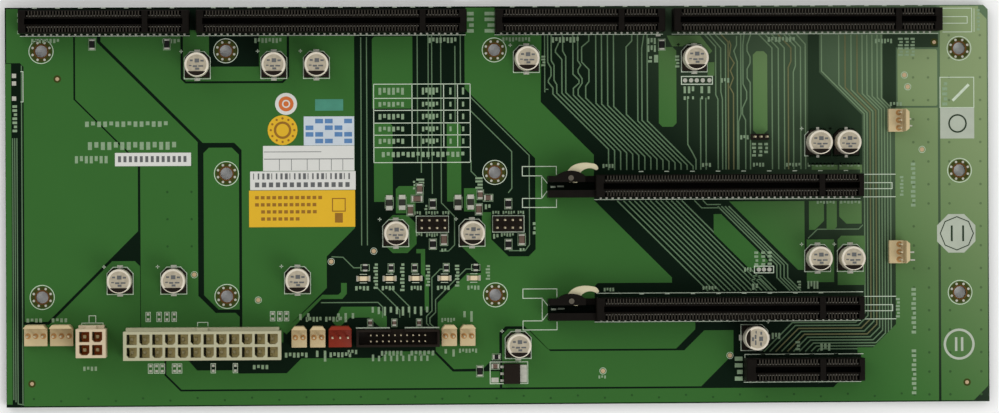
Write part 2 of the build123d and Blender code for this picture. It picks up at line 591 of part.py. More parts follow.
def shroud_housing():
    """Shrouded header: an open box with a polarising notch in its back wall."""
    x, y = SHROUD_AT
    half_x, half_y = SHROUD_LENGTH / 2, SHROUD_WIDTH / 2
    wall = SHROUD_WALL
    top = SEAT + SHROUD_HEIGHT
    body = block(x - half_x, x + half_x, y - half_y, y + half_y, SEAT, top)
    body -= block(x - half_x + wall, x + half_x - wall, y - half_y + wall, y + half_y - wall,
                  SEAT + SHROUD_FLOOR, top + 1)
    notch = SHROUD_NOTCH / 2
    return body - block(x - notch, x + notch, y, y + half_y + 1, SEAT + SHROUD_FLOOR, top + 1)


def grid_pins(x, y, columns, rows, pitch, size, top):
    """Square pins on a grid about a centre, through the board."""
    half = size / 2
    pins = []
    for column in range(columns):
        for row in range(rows):
            px = x + (column - (columns - 1) / 2) * pitch
            py = y + (row - (rows - 1) / 2) * pitch
            pins.append(block(px - half, px + half, py - half, py + half, -TAIL_REACH, top))
    return pins


def strip_housing(strip):
    """Low block that holds the pins of an open strip."""
    half_x = strip.columns * strip.pitch / 2
    half_y = strip.rows * strip.pitch / 2
    return block(strip.x - half_x, strip.x + half_x, strip.y - half_y, strip.y + half_y,
                 SEAT, SEAT + STRIP_HEIGHT)


def strip_pins():
    """Pins of all the open strips."""
    pins = []
    for strip in STRIPS:
        pins += grid_pins(strip.x, strip.y, strip.columns, strip.rows, strip.pitch, HEADER_PIN,
                          SEAT + STRIP_PIN_TOP)
    return pins


def capacitor_places():
    """Where each capacitor stands, as a placement with its turn."""
    places = [Pos(x, y, SEAT) for x, y in CAPACITORS]
    return places + [Pos(*CAPACITOR_TURNED, SEAT) * Rot(0, 0, -90)]


def capacitor_can():
    """Aluminium can with an eased top edge."""
    can = prism(0, 0, CAN_DIAMETER / 2, CAN_SIDES, CAN_BASE_HEIGHT, CAN_HEIGHT)
    return chamfer(can.edges().group_by(Axis.Z)[-1], CAN_EDGE)


def capacitor_base():
    """Square moulded base with two corners cut off towards the plus side."""
    half = CAN_BASE_SIZE / 2
    cut = CAN_BASE_CORNER
    return slab([
        (-half, -half), (half, -half), (half, half - cut), (half - cut, half),
        (-half + cut, half), (-half, half - cut),
    ], 0, CAN_BASE_HEIGHT)


def capacitor_leads():
    """Two flat leads that come out from under the base."""
    half = CAN_BASE_SIZE / 2
    width = CAN_LEAD_WIDTH / 2
    return [block(-width, width, *sorted((side * half, side * (half + CAN_LEAD_REACH))), 0, CAN_LEAD_HEIGHT)
            for side in (-1, 1)]


def chip_body(x, y, size_x, size_y, end):
    """Ceramic body between the two metal ends of a chip part, which lie along its longer side."""
    half_x, half_y = size_x / 2, size_y / 2
    if size_y > size_x:
        half_y -= end
    else:
        half_x -= end
    return block(x - half_x, x + half_x, y - half_y, y + half_y, SEAT, SEAT + CHIP_HEIGHT)


def chip_ends(x, y, size_x, size_y, end):
    """The two metal ends of a chip part."""
    half_x, half_y = size_x / 2, size_y / 2
    top = SEAT + CHIP_HEIGHT
    if size_y > size_x:
        return [block(x - half_x, x + half_x, y - half_y, y - half_y + end, SEAT, top),
                block(x - half_x, x + half_x, y + half_y - end, y + half_y, SEAT, top)]
    return [block(x - half_x, x - half_x + end, y - half_y, y + half_y, SEAT, top),
            block(x + half_x - end, x + half_x, y - half_y, y + half_y, SEAT, top)]


def lamp_bodies():
    """Translucent blocks of the five indicator lamps."""
    x_half, y_half = LAMP_LENGTH / 2 - LAMP_PAD / 2, LAMP_WIDTH / 2
    return [block(x - x_half, x + x_half, y - y_half, y + y_half, SEAT, SEAT + LAMP_HEIGHT) for x, y in LAMPS]


def lamp_ends():
    """Metal ends of the indicator lamps."""
    ends = []
    for x, y in LAMPS:
        for side in (-1, 1):
            x0, x1 = sorted((x + side * (LAMP_LENGTH / 2 - LAMP_PAD / 2), x + side * (LAMP_LENGTH / 2 + LAMP_PAD / 2)))
            ends.append(block(x0, x1, y - LAMP_WIDTH / 2, y + LAMP_WIDTH / 2, SEAT, SEAT + LAMP_HEIGHT / 2))
    return ends


def regulator_body():
    """Moulded body of the voltage regulator, with its upper edges eased."""
    x, y = REGULATOR_AT
    half = REGULATOR_WIDTH / 2
    body = block(x, x + REGULATOR_LENGTH, y - half, y + half, SEAT, SEAT + REGULATOR_HEIGHT)
    return chamfer(body.edges().group_by(Axis.Z)[-1], REGULATOR_HEIGHT / 8)


def regulator_metal():
    """Heat tab on one side of the regulator and three leads on the other."""
    x, y = REGULATOR_AT
    right = x + REGULATOR_LENGTH
    half = REGULATOR_TAB_WIDTH / 2
    metal = [block(right, right + REGULATOR_TAB, y - half, y + half, SEAT, SEAT + REGULATOR_TAB_HEIGHT)]
    width = REGULATOR_LEAD_WIDTH / 2
    for index in (-1, 0, 1):
        centre = y + index * REGULATOR_LEAD_PITCH
        metal.append(block(x - REGULATOR_LEAD_REACH, x, centre - width, centre + width,
                           SEAT, SEAT + REGULATOR_TAB_HEIGHT))
    return metal


def main():
    """Write every sub-part of the backplane."""
    os.makedirs("parts", exist_ok=True)
    save("board", board())
    save("copper_fields", copper_fields())
    for slot in SLOTS:
        save(slot.name, slot_housing(slot))
        if slot.latched:
            number = slot.name.split("_")[2]
            save(f"latch_lever_{number}", latch_lever(slot))
            save(f"latch_pin_{number}", latch_pin(slot))
    save("main_power_housing", power_housing(POWER_MAIN_AT, POWER_MAIN_COLUMNS))
    save("main_power_pins", power_pins(POWER_MAIN_AT, POWER_MAIN_COLUMNS))
    save("extra_power_housing", power_housing(POWER_EXTRA_AT, POWER_EXTRA_COLUMNS))
    save("extra_power_pins", power_pins(POWER_EXTRA_AT, POWER_EXTRA_COLUMNS))
    for header in FAN_HEADERS + SWITCH_HEADERS:
        save(header.name, header_housing(header))
    save("fan_header_pins", header_pins(FAN_HEADERS))
    save("switch_header_pins", header_pins(SWITCH_HEADERS))
    save("shroud_header", shroud_housing())
    shroud_top = SEAT + SHROUD_PIN_TOP
    save("shroud_header_pins", grid_pins(*SHROUD_AT, SHROUD_COLUMNS, 2, SHROUD_PITCH, SHROUD_PIN, shroud_top))
    for strip in STRIPS:
        save(strip.name, strip_housing(strip))
    save("strip_pins", strip_pins())
    places = capacitor_places()
    save("capacitor_cans", [place * capacitor_can() for place in places])
    save("capacitor_bases", [place * capacitor_base() for place in places])
    save("capacitor_leads", [place * lead for place in places for lead in capacitor_leads()])
    save("chip_resistors", [chip_body(*chip, CHIP_END) for chip in CHIP_RESISTORS])
    save("chip_capacitors", [chip_body(*chip, CHIP_END) for chip in CHIP_CAPACITORS])
    save("chip_networks", [chip_body(*chip, NETWORK_LEAD) for chip in CHIP_NETWORKS])
    save("fuses", [chip_body(*chip, 3 * CHIP_END) for chip in FUSES])
    ends = [end for chip in CHIP_RESISTORS + CHIP_CAPACITORS for end in chip_ends(*chip, CHIP_END)]
    ends += [end for chip in CHIP_NETWORKS for end in chip_ends(*chip, NETWORK_LEAD)]
    ends += [end for chip in FUSES for end in chip_ends(*chip, 3 * CHIP_END)]
    save("chip_ends", ends)
    save("lamp_bodies", lamp_bodies())
    save("lamp_ends", lamp_ends())
    save("regulator_body", regulator_body())
    save("regulator_metal", regulator_metal())
    for name, rectangles in RECTANGLE_LABELS.items():
        top = SEAT + LABEL_THICKNESS
        labels = [block(left, right, front, back, SEAT, top) for left, front, right, back in rectangles]
        labels += [prism(x, y, radius, LABEL_SIDES, SEAT, top) for x, y, radius in ROUND_LABELS[name]]
        save(name, labels)


main()
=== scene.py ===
"""Looks of the passive backplane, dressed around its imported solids. Sizes in the classes are millimetres."""
import logging
import math
from collections.abc import Iterable, Iterator
from contextlib import contextmanager
from dataclasses import dataclass, field
from enum import Enum
from functools import cache

import bpy
from mathutils import Matrix, Vector


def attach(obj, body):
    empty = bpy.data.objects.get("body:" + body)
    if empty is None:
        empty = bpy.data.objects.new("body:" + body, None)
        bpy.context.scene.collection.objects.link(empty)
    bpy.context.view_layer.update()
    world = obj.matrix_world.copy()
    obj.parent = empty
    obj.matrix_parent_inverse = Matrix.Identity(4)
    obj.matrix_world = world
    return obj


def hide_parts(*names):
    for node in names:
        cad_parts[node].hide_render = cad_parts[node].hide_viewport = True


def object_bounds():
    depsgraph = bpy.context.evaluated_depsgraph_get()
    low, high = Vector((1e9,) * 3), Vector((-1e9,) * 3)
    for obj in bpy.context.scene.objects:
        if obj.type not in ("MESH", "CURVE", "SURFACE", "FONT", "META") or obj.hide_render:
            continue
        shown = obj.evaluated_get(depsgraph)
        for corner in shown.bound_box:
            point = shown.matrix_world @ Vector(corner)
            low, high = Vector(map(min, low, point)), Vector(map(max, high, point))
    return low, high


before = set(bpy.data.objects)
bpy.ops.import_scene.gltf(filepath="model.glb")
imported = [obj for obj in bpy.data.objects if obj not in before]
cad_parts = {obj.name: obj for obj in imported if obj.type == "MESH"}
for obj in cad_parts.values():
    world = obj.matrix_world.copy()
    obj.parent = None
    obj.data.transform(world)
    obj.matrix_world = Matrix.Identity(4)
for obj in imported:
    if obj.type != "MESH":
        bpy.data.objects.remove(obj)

log = logging.getLogger("backplane")

CAD_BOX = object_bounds()
MM = 0.001
BOARD_TOP = 1.6
MASK_TOP = 1.67
SLOT_TOP = 12.92
HOME = "backplane"

Point = tuple[float, float]
Rgb = tuple[int, int, int]
Socket = bpy.types.NodeSocket
Feeds = dict[str | int, object]


def linear(tone: Rgb) -> tuple[float, float, float, float]:
    """Turn a colour as seen on a screen into light values.

    Args:
        tone: Red, green and blue from 0 to 255.

    Returns:
        Linear red, green and blue, with an alpha of 1.
    """
    parts = [part / 255 for part in tone]
    values = [part / 12.92 if part <= 0.04045 else ((part + 0.055) / 1.055) ** 2.4 for part in parts]
    return values[0], values[1], values[2], 1.0


def circle(x: float, y: float, radius: float, sides: int, first: float = 0.0) -> list[Point]:
    """Give points spread evenly round a circle, anticlockwise.

    Args:
        x: Middle along X.
        y: Middle along Y.
        radius: The circle's radius.
        sides: Number of points.
        first: Where the first point is, in steps from the right.

    Returns:
        The points.
    """
    turns = [2 * math.pi * (index + first) / sides for index in range(sides)]
    return [(x + radius * math.cos(turn), y + radius * math.sin(turn)) for turn in turns]


def placed(x: float, y: float, turn: float, points: Iterable[Point]) -> list[Point]:
    """Turn points about the origin and then move them.

    Args:
        x: Move along X.
        y: Move along Y.
        turn: Turn in degrees, anticlockwise.
        points: The points.

    Returns:
        The points in their new places.
    """
    cos, sin = math.cos(math.radians(turn)), math.sin(math.radians(turn))
    return [(x + a * cos - b * sin, y + a * sin + b * cos) for a, b in points]


class Layer(Enum):
    """What a flat shape on the board is made of, with its lower and upper height."""

    REAR = (-0.05, 0.0)
    AREA = (BOARD_TOP, 1.655)
    TRACE = (BOARD_TOP, 1.66)
    VIA = (BOARD_TOP, 1.68)
    TIN = (BOARD_TOP, 1.69)
    INK = (BOARD_TOP, 1.71)
    LABEL = (1.765, 1.785)
    HEADER_FACE = (5.0, 5.12)
    LABEL_SPOT = (1.765, 1.8)
    CAN_MARK = (11.7, 11.78)


class Graph:
    """A shader node tree in which each node is set and wired as it is added."""

    def __init__(self, tree: bpy.types.NodeTree) -> None:
        """Take the tree that nodes are added to.

        Args:
            tree: The tree of a material, a world or a group.
        """
        self.tree = tree

    def feed(self, node: bpy.types.Node, inputs: Feeds) -> None:
        """Set or wire inputs of a node.

        Args:
            node: The node.
            inputs: For each input, its value or the output that it is wired to.
        """
        for key, value in inputs.items():
            if isinstance(value, Socket):
                self.tree.links.new(value, node.inputs[key])
            else:
                node.inputs[key].default_value = value

    def add(self, kind: str, inputs: Feeds | None = None, **settings: object) -> bpy.types.Node:
        """Add a node.

        Args:
            kind: The node's type, without the words that all shader nodes start with.
            inputs: For each input, its value or the output that it is wired to.
            **settings: The node's own settings, made before its inputs.

        Returns:
            The node.
        """
        node = self.tree.nodes.new(f"ShaderNode{kind}")
        for key, value in settings.items():
            setattr(node, key, value)
        self.feed(node, inputs or {})
        return node

    def maths(self, operation: str, *values: object) -> Socket:
        """Add one sum.

        Args:
            operation: What it does.
            *values: Its values or the outputs that it is wired to.

        Returns:
            Its result.
        """
        return self.add("Math", dict(enumerate(values)), operation=operation).outputs[0]

    def mix(self, share: Socket, first: object, second: object, kind: str = "RGBA") -> Socket:
        """Mix two colours or numbers.

        Args:
            share: How much of the second one there is.
            first: The first one.
            second: The second one.
            kind: RGBA for colours or FLOAT for numbers.

        Returns:
            The mixture.
        """
        return self.add("Mix", {"Factor": share, "A": first, "B": second}, data_type=kind).outputs["Result"]

    def ramp(self, value: Socket, **ends: float) -> Socket:
        """Add a smooth ramp.

        Args:
            value: What is looked up.
            **ends: The ramp's ends, with underscores for spaces.

        Returns:
            The ramp's result.
        """
        inputs = {"Value": value} | {key.replace("_", " "): end for key, end in ends.items()}
        return self.add("MapRange", inputs, interpolation_type="SMOOTHSTEP").outputs["Result"]

    def place(self) -> Socket:
        """Give the place on the object, in metres."""
        return self.add("TexCoord").outputs["Object"]

    def noise(self, scale: Socket, detail: float) -> Socket:
        """Give a cloudy value over the object.

        Args:
            scale: Its scale.
            detail: How many finer clouds it holds.

        Returns:
            The value, from 0 to 1.
        """
        inputs = {"Vector": self.place(), "Scale": scale, "Detail": detail}
        return self.add("TexNoise", inputs).outputs["Fac"]

    def clouded(self, tone: Rgb, amount: float, scale: float) -> Socket:
        """Give a clouded colour.

        Args:
            tone: The colour from 0 to 255.
            amount: How far it wanders.
            scale: Over which scale.

        Returns:
            The colour.
        """
        inputs = {"Tone": linear(tone), "Scale": scale, "Amount": amount}
        return self.add("Group", inputs, node_tree=Nodes.cloud()).outputs["Tone"]


class Nodes:
    """Shader node groups that all finishes share, each built once."""

    @staticmethod
    def group(name: str, takes: dict[str, str],
              gives: dict[str, str]) -> tuple[Graph, bpy.types.Node, bpy.types.Node]:
        """Start a group.

        Args:
            name: Its name.
            takes: Type of each input.
            gives: Type of each output.

        Returns:
            The group's graph, its input node and its output node.
        """
        tree = bpy.data.node_groups.new(name, "ShaderNodeTree")
        for way, sockets in (("INPUT", takes), ("OUTPUT", gives)):
            for socket, kind in sockets.items():
                tree.interface.new_socket(socket, in_out=way, socket_type=f"NodeSocket{kind}")
        return Graph(tree), tree.nodes.new("NodeGroupInput"), tree.nodes.new("NodeGroupOutput")

    @staticmethod
    @cache
    def cloud() -> bpy.types.NodeTree:
        """Group that clouds a colour, lighter and darker.

        Returns:
            The node group.
        """
        takes = {"Tone": "Color", "Scale": "Float", "Amount": "Float"}
        graph, inside, outside = Nodes.group("cloudy_tone", takes, {"Tone": "Color"})
        centred = graph.maths("SUBTRACT", graph.noise(inside.outputs["Scale"], 4.0), 0.5)
        share = graph.maths("MULTIPLY_ADD", centred, inside.outputs["Amount"], 1.0)
        bright = graph.add("HueSaturation", {"Color": inside.outputs["Tone"], "Value": share})
        graph.feed(outside, {"Tone": bright.outputs["Color"]})
        return graph.tree

    @staticmethod
    @cache
    def grain() -> bpy.types.NodeTree:
        """Group that gives a fine uneven surface as a normal, and an uneven gloss.

        Returns:
            The node group.
        """
        takes = {"Scale": "Float", "Depth": "Float", "Gloss": "Float"}
        graph, inside, outside = Nodes.group("fine_grain", takes, {"Normal": "Vector", "Gloss": "Float"})
        noise = graph.noise(inside.outputs["Scale"], 2.0)
        inputs = {"Distance": GRAIN_DEPTH, "Strength": inside.outputs["Depth"], "Height": noise}
        bump = graph.add("Bump", inputs)
        lower = graph.maths("SUBTRACT", inside.outputs["Gloss"], GLOSS_SPREAD / 2)
        spread = graph.maths("MULTIPLY_ADD", noise, GLOSS_SPREAD, lower)
        graph.feed(outside, {"Normal": bump.outputs["Normal"], "Gloss": spread})
        return graph.tree


GRAIN_DEPTH = 0.00003
GLOSS_SPREAD = 0.16
COAT_ROUGHNESS = 0.12


@dataclass(frozen=True)
class Finish:
    """One surface finish: its colour, gloss, and how uneven it is.

    Attributes:
        name: What the material is called.
        tone: Colour from 0 to 255.
        roughness: 0 is polished and 1 is dull.
        metallic: 1 for bare metal.
        coat: Weight of a clear gloss over the colour.
        shine: Strength of the plain reflection, where 0.5 is usual for plastic.
        cloud: How far the colour wanders, and over which scale.
        grain: Depth of the fine surface, and its scale.
    """

    name: str
    tone: Rgb
    roughness: float = 0.5
    metallic: float = 0.0
    coat: float = 0.0
    shine: float = 0.3
    cloud: tuple[float, float] = (0.2, 60.0)
    grain: tuple[float, float] = (0.3, 3000.0)

    @cache
    def build(self) -> bpy.types.Material:
        """Make the material, or give it back if it is made.

        Returns:
            The material.
        """
        material = bpy.data.materials.new(f"{self.name}_finish")
        material.use_nodes = True
        graph = Graph(material.node_tree)
        depth, scale = self.grain
        grain = graph.add("Group", {"Scale": scale, "Depth": depth, "Gloss": self.roughness},
                          node_tree=Nodes.grain())
        graph.feed(graph.tree.nodes["Principled BSDF"], {
            "Metallic": self.metallic, "Coat Weight": self.coat, "Coat Roughness": COAT_ROUGHNESS,
            "Specular IOR Level": self.shine, "Roughness": grain.outputs["Gloss"],
            "Normal": grain.outputs["Normal"], "Base Color": self.colour(graph)})
        return material

    def colour(self, graph: Graph) -> Socket:
        """Make the nodes of the colour.

        Args:
            graph: The material's graph.

        Returns:
            The socket that gives the colour.
        """
        return graph.clouded(self.tone, *self.cloud)


@dataclass(frozen=True)
class MaskFinish(Finish):
    """Green mask, with a painted glare that makes it paler and yellower towards the back right corner.

    Attributes:
        pale: Colour at the corner where the painted glare is strongest.
    """

    pale: Rgb = (100, 135, 80)

    def colour(self, graph: Graph) -> Socket:
        """Make the clouded colour, and shift it towards the pale one along the board, as painted glare.

        Args:
            graph: The material's graph.

        Returns:
            The socket that gives the colour.
        """
        near = super().colour(graph)
        along = graph.add("VectorMath", {0: graph.place(), 1: GLARE_WAY}, operation="DOT_PRODUCT")
        glare_share = graph.ramp(along.outputs["Value"], From_Min=GLARE_START, From_Max=GLARE_START + 1.0)
        return graph.mix(glare_share, near, linear(self.pale))


@dataclass(frozen=True)
class BoardFinish(MaskFinish):
    """The board's own mask: bare ground on top, and green over the wide copper on its underside.

    Attributes:
        rear: Colour of the underside.
    """

    rear: Rgb = (42, 88, 40)

    def colour(self, graph: Graph) -> Socket:
        """Make the upper colour, and change it to the rear one on the underside.

        Args:
            graph: The material's graph.

        Returns:
            The socket that gives the colour.
        """
        upper = super().colour(graph)
        parts = graph.add("SeparateXYZ", {0: graph.place()})
        below = graph.maths("LESS_THAN", parts.outputs["Z"], REAR_DEPTH * MM)
        return graph.mix(below, upper, graph.clouded(self.rear, 0.2, 30.0))


# way and start of the painted glare that pales the masks towards the back right corner
GLARE_WAY = (6.0, 5.8, 0.0)
GLARE_START = 0.287
REAR_DEPTH = 0.1


# the pale tone of each mask is its colour under the painted glare at the back right corner
BARE_MASK = BoardFinish("bare_mask", (8, 27, 14), 0.45, shine=0.06, cloud=(0.3, 40.0), pale=(94, 118, 88))
COPPER_MASK = MaskFinish("copper_mask", (53, 104, 44), 0.4, shine=0.12, cloud=(0.16, 25.0),
                         pale=(138, 156, 112))
DEEP_MASK = MaskFinish("deep_mask", (20, 46, 24), 0.4, shine=0.1, cloud=(0.2, 40.0), pale=(44, 60, 42))
TRACE_MASK = MaskFinish("trace_mask", (96, 124, 92), 0.45, shine=0.1, cloud=(0.35, 90.0),
                        pale=(124, 146, 112))
TAN_TRACE = Finish("tan_trace", (108, 110, 74), 0.45, shine=0.1, cloud=(0.3, 90.0))
INK = Finish("printed_ink", (198, 212, 190), 0.6, shine=0.1, cloud=(0.4, 900.0))
SLOT_BLACK = Finish("slot_plastic", (22, 19, 16), 0.5, shine=0.05, cloud=(0.5, 400.0), grain=(0.4, 4000.0))
# the ribs are the housing's black plastic; their lighter tone is painted light on their tops
RIB_LIT_BLACK = Finish("rib_painted_sheen", (60, 56, 49), 0.5, shine=0.08, cloud=(0.5, 700.0))
BLACK = Finish("black_plastic", (34, 28, 23), 0.5, shine=0.06, cloud=(0.4, 300.0))
LEVER_CREAM = Finish("lever_plastic", (208, 200, 166), 0.45, shine=0.2, cloud=(0.12, 300.0))
POWER_CREAM = Finish("power_plastic", (180, 177, 146), 0.42, shine=0.2, cloud=(0.12, 120.0))
EXTRA_CREAM = Finish("extra_power_plastic", (206, 188, 158), 0.42, shine=0.2, cloud=(0.14, 150.0))
# khaki of the main socket's cell ledges: painted light, the glow that reaches into the cells through their
# thin walls
CELL_LIT_KHAKI = Finish("cell_painted_light", (204, 188, 136), 0.5, shine=0.1, cloud=(0.5, 350.0))
CELL_BROWN = Finish("cell_brown", (170, 88, 42), 0.5, shine=0.1, cloud=(0.5, 350.0))
HEADER_CREAM = Finish("header_plastic", (202, 182, 140), 0.42, shine=0.2, cloud=(0.2, 260.0))
HEADER_AMBER = Finish("header_amber", (182, 136, 82), 0.42, shine=0.2, cloud=(0.4, 500.0))
RED = Finish("red_plastic", (138, 44, 25), 0.42, shine=0.15, cloud=(0.3, 300.0))
SOFT_INK = Finish("soft_ink", (136, 160, 128), 0.6, shine=0.1, cloud=(0.5, 1200.0))
VIA_MASK = MaskFinish("via_mask", (38, 80, 34), 0.45, shine=0.1, cloud=(0.2, 40.0), pale=(112, 130, 92))
TIN = Finish("tinned_metal", (214, 214, 200), 0.42, metallic=0.55, cloud=(0.45, 900.0))
GOLD = Finish("gold_plate", (214, 200, 168), 0.35, metallic=0.6, cloud=(0.4, 900.0))
CONTACT = Finish("slot_contact", (164, 160, 148), 0.4, metallic=0.3, cloud=(0.6, 500.0))
CAN = Finish("can_metal", (238, 229, 210), 0.42, metallic=0.3, cloud=(0.3, 420.0), grain=(0.5, 2500.0))
CAN_FACE = Finish("can_face", (182, 172, 150), 0.5, metallic=0.2, cloud=(0.7, 700.0), grain=(0.6, 1500.0))
POWER_PIN = Finish("power_pin", (196, 184, 146), 0.5, metallic=0.2, cloud=(0.3, 500.0))
DARK_STEEL = Finish("pin_steel", (98, 92, 80), 0.55, metallic=0.3)
BRASS = Finish("barrel_copper", (112, 74, 34), 0.45, metallic=0.5, cloud=(0.4, 400.0))
RING_MASK = Finish("ring_olive", (60, 66, 20), 0.45, shine=0.1, cloud=(0.3, 300.0))
TEST_TAN = Finish("test_point", (206, 178, 140), 0.4, metallic=0.3, cloud=(0.3, 600.0))
CERAMIC_TAN = Finish("tan_ceramic", (104, 84, 72), 0.6, cloud=(0.4, 500.0))
CERAMIC_BLACK = Finish("black_ceramic", (30, 28, 28), 0.5, shine=0.15)
FUSE_GREEN = Finish("fuse_green", (44, 46, 36), 0.5)
LAMP = Finish("lamp_resin", (226, 208, 172), 0.25, coat=0.4)
PAPER_WHITE = Finish("paper_white", (214, 214, 208), 0.7, cloud=(0.1, 80.0))
PAPER_YELLOW = Finish("paper_yellow", (222, 176, 30), 0.6, cloud=(0.14, 80.0))
PAPER_BLUE = Finish("paper_blue", (196, 206, 214), 0.6, cloud=(0.2, 300.0))
LABEL_GREY = Finish("label_grey", (96, 98, 98), 0.7, cloud=(0.4, 500.0))
LABEL_BROWN = Finish("label_brown", (150, 104, 22), 0.6, cloud=(0.4, 500.0))
LABEL_ORANGE = Finish("label_orange", (206, 108, 48), 0.6, cloud=(0.2, 300.0))
LABEL_BLUE = Finish("label_blue_print", (86, 128, 176), 0.6, cloud=(0.4, 700.0))
LABEL_TEAL = Finish("label_teal", (70, 140, 118), 0.6, cloud=(0.3, 400.0))
PALE_PATCH = Finish("pale_patch", (176, 184, 168), 0.6, shine=0.15, cloud=(0.2, 200.0))
FLOOR = Finish("floor_white", (250, 250, 249), 0.85, shine=0.1, cloud=(0.01, 3.0))


class Bench:
    """Modelling steps by operator, in millimetres on the board's own axes."""

    @staticmethod
    def only(*pieces: bpy.types.Object) -> None:
        """Select these pieces alone, or none at all, and make the first one active.

        Args:
            *pieces: The pieces.
        """
        bpy.ops.object.select_all(action="DESELECT")
        for piece in pieces:
            piece.select_set(True)
        if pieces:
            bpy.context.view_layer.objects.active = pieces[0]

    @staticmethod
    @contextmanager
    def editing(piece: bpy.types.Object) -> Iterator[None]:
        """Hold a piece in edit mode with all of it selected.

        Args:
            piece: The piece.

        Yields:
            Nothing.
        """
        Bench.only(piece)
        bpy.ops.object.mode_set(mode="EDIT")
        bpy.ops.mesh.select_all(action="SELECT")
        yield
        bpy.ops.object.mode_set(mode="OBJECT")

    @staticmethod
    def named(piece: bpy.types.Object, name: str) -> bpy.types.Object:
        """Name a piece and its mesh."""
        piece.name = name
        piece.data.name = name
        return piece

    @staticmethod
    def settle(piece: bpy.types.Object, name: str) -> bpy.types.Object:
        """Put a piece's place into its mesh and name it.

        Args:
            piece: The piece.
            name: Its new name.

        Returns:
            The same piece.
        """
        Bench.only(piece)
        bpy.ops.object.transform_apply(location=True, rotation=True, scale=True)
        return Bench.named(piece, name)

    @staticmethod
    def shape(name: str, points: Iterable[Iterable[float]], edges: list, faces: list) -> bpy.types.Object:
        """Make a piece from its corners.

        Args:
            name: The piece's name.
            points: Corners in millimetres.
            edges: Pairs of corner numbers, where there are no faces.
            faces: Faces as lists of corner numbers.

        Returns:
            The piece.
        """
        mesh = bpy.data.meshes.new(name)
        mesh.from_pydata([[part * MM for part in point] for point in points], edges, faces)
        piece = bpy.data.objects.new(name, mesh)
        bpy.context.scene.collection.objects.link(piece)
        return piece

    @staticmethod
    def block(name: str, low: Iterable[float], high: Iterable[float]) -> bpy.types.Object:
        """Add a block between two corners.

        Args:
            name: The piece's name.
            low: Lowest corner in millimetres.
            high: Highest corner in millimetres.

        Returns:
            The block.
        """
        Bench.only()
        centre = [(a + b) / 2 * MM for a, b in zip(low, high)]
        size = [(b - a) * MM for a, b in zip(low, high)]
        bpy.ops.mesh.primitive_cube_add(size=1.0, location=centre, scale=size)
        return Bench.settle(bpy.context.object, name)

    @staticmethod
    def cylinder(name: str, sides: int, radius: float, depth: float, height: float) -> bpy.types.Object:
        """Add an upright cylinder over the origin.

        Args:
            name: The piece's name.
            sides: Number of its sides.
            radius: Its radius in millimetres.
            depth: Its thickness in millimetres.
            height: Height of its middle in millimetres.

        Returns:
            The cylinder.
        """
        Bench.only()
        bpy.ops.mesh.primitive_cylinder_add(vertices=sides, radius=radius * MM, depth=depth * MM,
                                            location=(0, 0, height * MM))
        return Bench.settle(bpy.context.object, name)

    @staticmethod
    def apply(piece: bpy.types.Object, kind: str, **values: object) -> bpy.types.Object:
        """Give a piece a modifier and apply it.

        Args:
            piece: The piece.
            kind: The modifier's type.
            **values: The modifier's settings.

        Returns:
            The same piece.
        """
        Bench.only(piece)
        modifier = piece.modifiers.new(kind.lower(), kind)
        for key, value in values.items():
            setattr(modifier, key, value)
        bpy.ops.object.modifier_apply(modifier=modifier.name)
        return piece

    @staticmethod
    def row(piece: bpy.types.Object, count: int, step: tuple[float, float, float]) -> bpy.types.Object:
        """Repeat a piece along a line, in millimetres."""
        return Bench.apply(piece, "ARRAY", count=count, use_relative_offset=False, use_constant_offset=True,
                           constant_offset_displace=[part * MM for part in step])

    @staticmethod
    def join(name: str, pieces: list[bpy.types.Object]) -> bpy.types.Object:
        """Join pieces into the first one.

        Args:
            name: Name of the joined piece.
            pieces: The pieces, two or more.

        Returns:
            The joined piece.
        """
        Bench.only(*pieces)
        bpy.ops.object.join()
        return Bench.named(pieces[0], name)

    @staticmethod
    def copy(piece: bpy.types.Object, name: str, place: Matrix) -> bpy.types.Object:
        """Copy a piece with a mesh of its own, moved by a matrix in metres."""
        twin = piece.copy()
        twin.data = piece.data.copy()
        twin.data.transform(place)
        twin.name = name
        bpy.context.scene.collection.objects.link(twin)
        return twin

    @staticmethod
    def flip_out(piece: bpy.types.Object) -> bpy.types.Object:
        """Merge a piece's doubles and point all its faces outwards."""
        with Bench.editing(piece):
            bpy.ops.mesh.remove_doubles(threshold=DOUBLES * MM)
            bpy.ops.mesh.normals_make_consistent(inside=False)
        return piece

    @staticmethod
    def smooth(piece: bpy.types.Object, degrees: float) -> bpy.types.Object:
        """Shade a piece smooth, apart from edges sharper than an angle."""
        Bench.only(piece)
        bpy.ops.object.shade_smooth_by_angle(angle=math.radians(degrees))
        return piece

    @staticmethod
    def moulded(node: str, name: str, edge: float) -> bpy.types.Object:
        """Copy a solid of the frame, merged, and round its edges.

        Args:
            node: The solid's node.
            name: Name of the new piece.
            edge: Width of the rounding in millimetres.

        Returns:
            The new piece.
        """
        piece = Bench.copy(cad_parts[node], name, Matrix.Identity(4))
        piece.parent = None
        for key in list(piece.keys()):
            del piece[key]
        piece.data.materials.clear()
        Bench.flip_out(piece)
        with Bench.editing(piece):
            bpy.ops.mesh.dissolve_limited(angle_limit=math.radians(1.0))
        Bench.apply(piece, "BEVEL", width=edge * MM, segments=2, limit_method="ANGLE",
                    angle_limit=math.radians(40), use_clamp_overlap=True)
        return Bench.smooth(piece, 35)

    @staticmethod
    def finish(piece: bpy.types.Object, finish: Finish, slot: str, body: str = HOME) -> bpy.types.Object:
        """Give a piece its finish and the body that it rides on.

        Args:
            piece: The piece.
            finish: Its finish.
            slot: Not used.
            body: The body that carries it.

        Returns:
            The same piece.
        """
        piece.data.materials.clear()
        piece.data.materials.append(finish.build())
        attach(piece, body)
        return piece


DOUBLES = 0.0005


